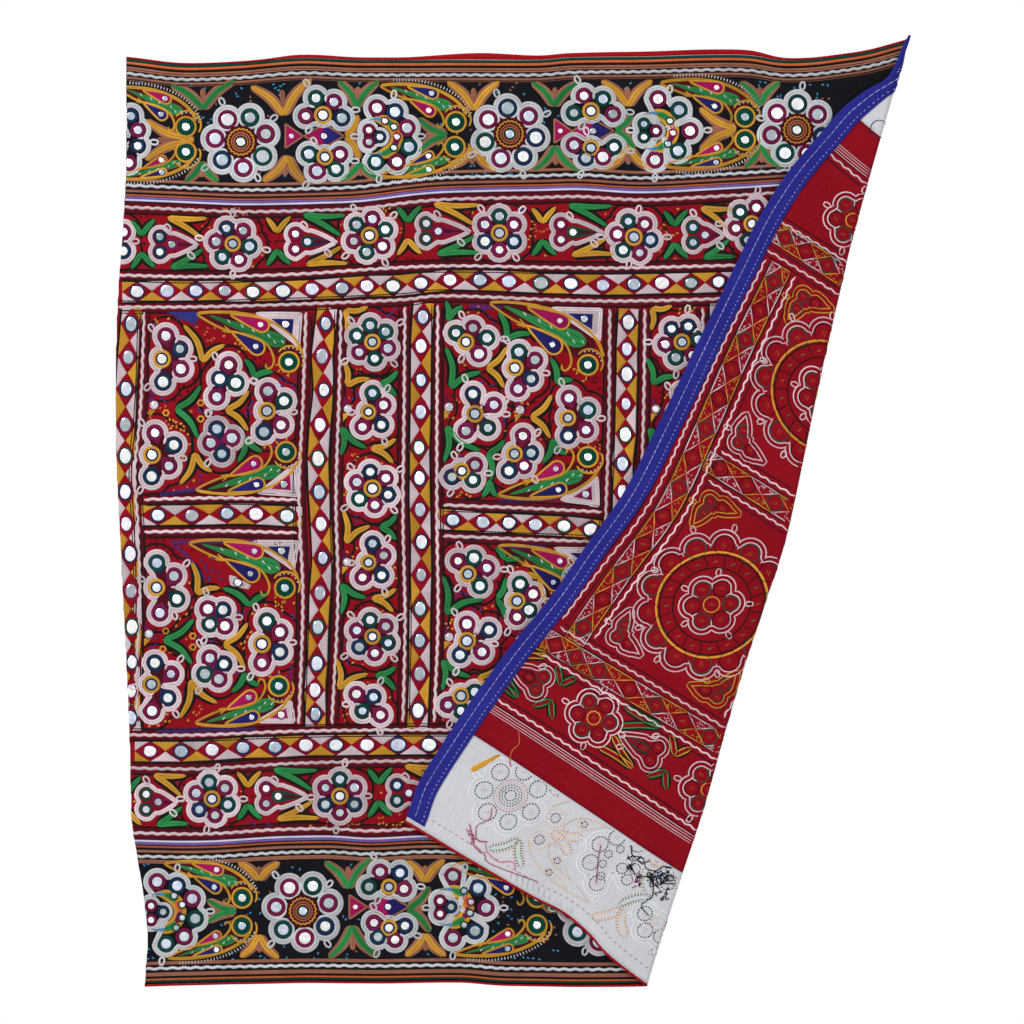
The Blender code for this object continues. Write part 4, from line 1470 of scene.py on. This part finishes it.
# Place, turn of the first petal, reach of the petals and their colours
GREAT_FLOWERS = (
    (241, 142, -121, 26.0, "mnmnmnm"), (510, 134, -95, 26.0, "nmnnmnm"),
    (797, 130, -140, 26.0, "mnmnmnm"), (303, 911, -120, 27.0, "mnmnmnm"),
    (598, 914, -15, 27.0, "mnmnmnm"), (876, 896, -32, 27.0, "mnmnmnm"),
)
SMALL_FLOWERS = (
    "306,116m 316,98n 334,102m 342,118n 323,115y", "309,154n 340,154m 336,169n 317,171m 325,157y",
    "584,96m 603,99n 613,114m 574,113n 591,111y", "574,145m 614,147n 586,158n 603,157m 591,148y",
    "380,872m 400,873n 404,889m 369,887n 389,887y", "374,923m 378,937n 395,940m 405,926n 389,928y",
    "131,116n 138,130m 138,146n 129,163m 117,140y",
    "668,872m 688,873n 692,889m 657,887n 677,887y", "662,923m 666,937n 683,940m 693,926n 677,928y",
)
# Outer mirrors, inner mirrors, and the small ones on the crescent
CRESCENTS = (
    ("377,108m 395,112n 407,128m 409,147n 397,162m 376,162n", "369,130m 369,142m 380,137n",
     "385,121 394,127 397,137 394,148"),
    ("658,99m 679,110n 690,131m 678,151n 655,160m", "644,124n 644,137n 656,131m",
     "670,121 673,133 668,144"),
    ("157,882m 177,886n 192,899m 195,919n 184,937m 166,944n", "151,906m 151,920m 163,912n",
     "174,896 182,905 182,918 176,928"),
    ("453,876m 478,888n 486,908m 475,931n 453,938m", "440,901m 440,914m 451,907n",
     "464,891 471,902 470,913 464,925"),
    ("740,872m 762,877n 772,891m 769,911n 751,925m", "728,894m 728,907m 739,900n",
     "752,885 759,895 758,906 752,917"),
)
# Head, tail, side of the back, and colours of the wing drops
BORDER_BIRDS = (
    ((186, 127), (118, 88), 1, "fi"), ((186, 152), (118, 178), -1, "if"),
    ((456, 122), (381, 86), 1, "if"), ((455, 147), (381, 176), -1, "gi"),
    ((745, 117), (661, 83), 1, "fi"), ((745, 140), (665, 166), -1, "if"),
    ((242, 898), (165, 864), 1, "fi"), ((242, 926), (168, 958), -1, "if"),
    ((537, 897), (452, 866), 1, "fi"), ((537, 925), (455, 954), -1, "if"),
    ((825, 892), (748, 862), 1, "fi"), ((825, 918), (748, 945), -1, "if"),
)
BORDER_LEAVES = """g 203,109 174,87 232,83
g 202,162 187,180 217,180
y 194,140 150,122 150,158
y 284,115 254,89 309,82
y 288,156 265,179 303,180
g 357,107 340,83 377,83
g 360,163 342,179 379,178
y 346,136 357,117 358,157
g 447,135 421,120 421,150
y 474,110 450,84 497,84
y 474,148 449,166 494,169
g 554,106 534,84 577,84
g 555,146 536,168 576,169
y 628,106 604,83 650,83
y 628,146 607,168 650,168
g 616,130 631,116 633,148
y 736,129 703,110 703,149
g 760,105 742,84 778,84
g 760,145 746,166 779,166
y 259,880 240,864 278,864
y 259,935 242,955 277,956
g 236,911 210,901 210,921
g 349,888 327,864 369,861
g 352,926 331,955 375,954
y 425,882 408,863 443,862
y 425,934 407,954 444,954
g 408,909 428,889 428,930
g 553,912 535,897 572,897
g 842,873 823,858 861,858
g 842,928 825,948 860,949
y 819,905 793,895 793,915
y 639,888 617,864 659,861
g 642,926 621,955 665,954
y 715,882 698,863 733,862
y 715,934 697,954 734,954
g 698,909 718,889 718,930"""
SMALL_DIAMONDS = ((324, 136, 18), (593, 131, 19), (388, 907, 19))
black_borders = new_cloth()
for x, y, start, reach, tones in GREAT_FLOWERS:
    table = petals(x, y, tones, reach, start)
    mirror_flower(black_borders, table, 6.4, loops=4, tone="s", rim="")
    for a, b, _ in places(table):
        ring(black_borders[0], a, b, 10.6, 2.8, "s", lift=0.1, height=0.7)
    great_middle(black_borders, x, y)
for table in SMALL_FLOWERS:
    mirror_flower(black_borders, table, 5.0, loops=3, tone="s", rim="")
for outer, inner, segments in CRESCENTS:
    crescent(black_borders, outer, inner, segments)
for head, tail, outer, wings in BORDER_BIRDS:
    bird(black_borders, head, tail, outer, wings, plump=0.95 if outer > 0 else 0.76, dashed=True)
leaf_pairs(black_borders, BORDER_LEAVES, edge="t", width=7.2, bow=0.08)
for x, y, slim in SMALL_DIAMONDS:
    shape = ((x - slim, y), (x, y - 11), (x + slim, y), (x, y + 11))
    framed_shape(black_borders, shape, "fi")
    framed_shape(black_borders, ((x - 38, y - 11), (x - 22, y), (x - 38, y + 11)), "f", 2.6)
sewn("black_border_stitches", black_borders[0], cotton_thread)
sewn("black_border_mirrors", black_borders[2], glass)


# The birds and corners of the field panels: the same birds in mustard lines, and in each
# corner a white three-sided frame round a mirror.
FIELD_BIRDS = (
    ((289, 362), (198, 314), 1, "fi"), ((286, 452), (197, 490), -1, "if"),
    ((285, 588), (190, 543), 1, "fi"), ((279, 686), (196, 723), -1, "if"),
    ((588, 365), (491, 303), 1, "fi"), ((588, 457), (499, 495), -1, "if"),
    ((585, 600), (499, 546), 1, "fi"), ((586, 686), (499, 722), -1, "if"),
)
CORNER_FRAMES = (
    (((254, 312), (303, 313), (300, 348)), "n"), (((256, 494), (297, 462), (299, 497)), "m"),
    (((250, 541), (300, 541), (295, 571)), "n"), (((256, 722), (292, 700), (296, 722)), "m"),
    (((549, 307), (603, 308), (601, 342)), "n"), (((559, 500), (598, 476), (600, 507)), "m"),
    (((552, 547), (602, 548), (600, 578)), "n"), (((556, 722), (598, 700), (600, 722)), "m"),
    (((230, 576), (252, 588), (232, 584)), "n"),
)
# Mirrors between small three-sided patches
PATCH_MIRRORS = (
    (347, 409), (346, 562), (153, 405), (148, 634), (448, 407), (448, 637), (655, 409), (655, 562),
    (519, 410), (519, 640),
)
HATCHED_LINES = (
    [(172, 540), (256, 539)], [(175, 543), (190, 556), (206, 578)], [(176, 316), (198, 316)],
    [(158, 729), (254, 726)], [(160, 492), (200, 486)], [(500, 498), (556, 496)],
    [(500, 543), (545, 545)], [(470, 304), (500, 305)],
)
field_birds = new_cloth()
for head, tail, outer, wings in FIELD_BIRDS:
    bird(field_birds, head, tail, outer, wings)
for corners, tone in CORNER_FRAMES:
    corners = np.array(corners, float)
    inner = enlarged(corners, 0.46)
    fill(field_birds[0], edge_points(enlarged(corners, 0.9), 3.0), "w", lift=0.1, height=0.4)
    for work in field_birds[:2]:
        rows = 2 if work["side"] > 0 else "double"
        stroke(work, edge_points(enlarged(corners, 0.88), 3.0), "w", 5.0, rows=rows, closed=True)
    fill(field_birds[0], edge_points(inner, 3.0), "fi"[tone == "n"], lift=0.9, height=0.4)
    mirror(field_birds, *inner.mean(axis=0), 3.7, tone, 1.0, lift=0.8)
    for corner in corners:
        taken.append((*(0.6 * corner + 0.4 * inner.mean(axis=0)), 12))
for x, y in PATCH_MIRRORS:
    fill(field_birds[0], edge_points(((x - 3, y - 13), (x - 4, y - 3), (x + 4, y - 4))), "m")
    fill(field_birds[0], edge_points(((x - 4, y + 4), (x - 4, y + 13), (x + 3, y + 5))), "y")
    fill(field_birds[0], edge_points(((x + 3, y + 3), (x + 8, y), (x + 3, y - 3))), "n")
    mirror(field_birds, x + 1, y, 3.0, "w", 1.6)
fill(field_birds[0], edge_points(((166, 312), (201, 312), (195, 325))), "b")
for line in HATCHED_LINES:
    path, _ = smooth_path(line, 2.4)
    for start, end in zip(path, beside(path, 5.0)):
        stroke(field_birds[0], (start, end + (1.2, 0)), "b", 1.6, lift=0.2, height=0.6, step=1.8)
sewn("field_birds", field_birds[0], cotton_thread)
sewn("field_birds_reverse", field_birds[1], cotton_thread)
sewn("bird_mirrors", field_birds[2], glass)


# The seeds: single small stitches that fill the ground left between the motifs, each patch
# in one colour.

# Left, right, top and foot of each ground, its seeds' colours, tries and width
SEEDED_GROUND = (
    ((146, 300, 312, 496), "yorbyrb", 1500, 2.9), ((146, 300, 536, 731), "byroybr", 1500, 2.9),
    ((343, 402, 306, 728), "yobry", 1400, 2.7), ((442, 603, 303, 503), "yoryrbo", 1500, 2.9),
    ((442, 603, 540, 728), "yrboryo", 1500, 2.9), ((648, 702, 305, 728), "yroyb", 900, 2.6),
    ((124, 800, 208, 270), "yrobkyro", 3200, 2.7), ((132, 800, 772, 826), "yrobkyro", 2600, 2.7),
    ((128, 830, 82, 176), "lllt", 900, 2.4), ((140, 560, 864, 960), "lllt", 600, 2.4),
)
PATCH_SIZE = 26
SEED_GAP = 0.3
SEED_ROOM = 2.6
SEED_REACH = 1.5
ground_seeds = new_stitching(1)
filled = np.array(taken)
for box, tones, count, size in SEEDED_GROUND:
    left, right, top, foot = box
    spots = chance.uniform((left, top), (right, foot), (count, 2))
    for x, y in spots:
        gap = np.hypot(filled[:, 0] - x, filled[:, 1] - y) - filled[:, 2]
        if gap.min() < SEED_GAP:
            continue
        filled = np.vstack((filled, (x, y, SEED_ROOM)))
        mixed = math.sin(round(x / PATCH_SIZE) * 12.9 + round(y / PATCH_SIZE) * 78.2)
        patch = int(abs(mixed) * 997)
        tone = tones[patch % len(tones)]
        aim = 0.9 * math.sin(patch) + 0.5 * chance.standard_normal()
        reach = SEED_REACH * np.array((math.cos(aim), math.sin(aim)))
        stroke(ground_seeds, ((x, y) - reach, (x, y) + reach), tone, size, step=2.2)
sewn("ground_seeds", ground_seeds, cotton_thread)


# The calico side: the stitches of the black border come through the backing as thin broken
# lines, with knots, tangled ends, a mustard end and a pink running stitch along the hem.
LAP_GAP = 1.5
CUT_GAP = 1.0
# Threads of the calico side pale towards the cloth: white ones most, dark ones not at all
BRIGHT = 0.22
BRIGHT_FADE = 0.3
WHITE_FADE = 0.92


def running_thread(name):
    """Thin thread that dips in and out of the calico."""
    material, shader = new_finish(name)
    dye_and_reflection = node(material, "ShaderNodeAttribute", {}, attribute_name="thread").outputs["Color"]
    layout = node(material, "ShaderNodeUVMap", {}, uv_map="stitch").outputs["UV"]
    split = node(material, "ShaderNodeSeparateXYZ", {0: layout})
    loop = sums(material, "SINE", sums(material, "MULTIPLY", split.outputs[0], 4.4))
    shown = ranged(material, loop, -0.7, -0.2)
    mix = {"Factor": shown, "A": (*CALICO_WHITE, 1.0), "B": dye_and_reflection}
    mixed = node(material, "ShaderNodeMix", mix, data_type="RGBA")
    link(material, next(one for one in mixed.outputs if one.enabled), shader.inputs["Base Color"])
    shader.inputs["Roughness"].default_value = 0.8
    shader.inputs["Specular IOR Level"].default_value = 0.06
    return material


def on_calico(flat):
    """The part of the border stitches that lies on the backing."""
    x, y = flat[:, 0], flat[:, 1]
    above = (y < top_seam(x) - LAP["top"] - LAP_GAP) & (y > top_cut(x) + CUT_GAP)
    below = (y > bottom_seam(x) + LAP["bottom"] + LAP_GAP) & (y < bottom_cut(x) - CUT_GAP)
    return above | below


dipping_thread = running_thread("dipping_thread")
for dye_and_reflection in black_borders[1]["colour"]:
    bright = dye_and_reflection[:, :3].max(axis=1, keepdims=True)
    share = np.where(bright > BRIGHT, BRIGHT_FADE, 0.0)
    if dye_and_reflection[:, 2].min() > 0.5:
        share = WHITE_FADE
    dye_and_reflection[:, :3] += (np.array(CALICO_WHITE) - dye_and_reflection[:, :3]) * share
sewn("calico_lines", black_borders[1], dipping_thread, on_calico)
calico_threads = new_stitching(-1)
for line, distance in ((bottom_cut, -13.0), (top_cut, 12.0)):
    path, _ = smooth_path(along(line, distance, 128, 934), 3.4)
    for start, end in list(zip(path, path[1:]))[::2]:
        stroke(calico_threads, (start, end), "p", 1.0, lift=0.1, height=0.6, step=1.7)
LOOSE_ENDS = (
    ([(893, 940), (880, 951), (874, 957), (862, 958), (851, 963), (802, 954)], "f", 0.9),
    ([(884, 915), (879, 926), (885, 938), (878, 950)], "p", 1.1),
    ([(868, 948), (860, 955), (846, 957), (834, 950), (826, 956)], "p", 1.2),
    ([(907, 836), (899, 848), (901, 858), (897, 868), (893, 872)], "o", 1.4),
    ([(771, 891), (764, 905), (752, 925)], "f", 0.9),
    ([(735, 892), (722, 899), (711, 893), (700, 897), (693, 884)], "k", 1.3),
    ([(745, 876), (738, 884), (728, 881), (718, 888), (708, 884)], "k", 1.3),
    ([(704, 897), (697, 908), (701, 921), (688, 926)], "k", 1.1),
    ([(300, 930), (312, 941), (330, 938), (341, 950)], "m", 1.1),
    ([(230, 120), (242, 131), (239, 142)], "n", 1.1),
    ([(512, 905), (520, 918), (538, 921), (545, 934)], "k", 1.1),
)
for trail, tone, width in LOOSE_ENDS:
    stroke(calico_threads, trail, tone, width, lift=0.25, height=1.0, step=2.0)
KNOTS = (
    (735, 888, "k", 7), (711, 893, "k", 9), (704, 890, "n", 6), (693, 885, "k", 8), (688, 900, "k", 5),
    (718, 903, "m", 4), (880, 951, "f", 2), (868, 955, "p", 2), (330, 905, "k", 4),
    (180, 118, "k", 4), (640, 130, "k", 4), (420, 915, "k", 5), (560, 900, "k", 4),
)
for x, y, tone, ends in KNOTS:
    for _ in range(ends):
        scribble = np.cumsum(3.0 * chance.standard_normal((6, 2)), axis=0) + (x, y)
        stroke(calico_threads, scribble, tone, 1.2, lift=0.2, height=1.0, step=1.8)
stroke(calico_threads, [(924, 895, 6.5), (917, 882, 5.5), (909, 867, 3.0)], "y", rows=3, lift=0.2)
ring(calico_threads, 889, 132.5, 9.0, 1.0, "n", rows="thin", height=0.6)
for x in np.arange(754, 826, 6.5):
    gather = [(x, float(bottom_cut(x)) - 4), (x + 2, 962), (x + 4, 957)]
    stroke(calico_threads, gather, (0.62, 0.6, 0.66), 1.2, lift=0.1, height=0.7, step=2.0)
sewn("calico_threads", calico_threads, cotton_thread)
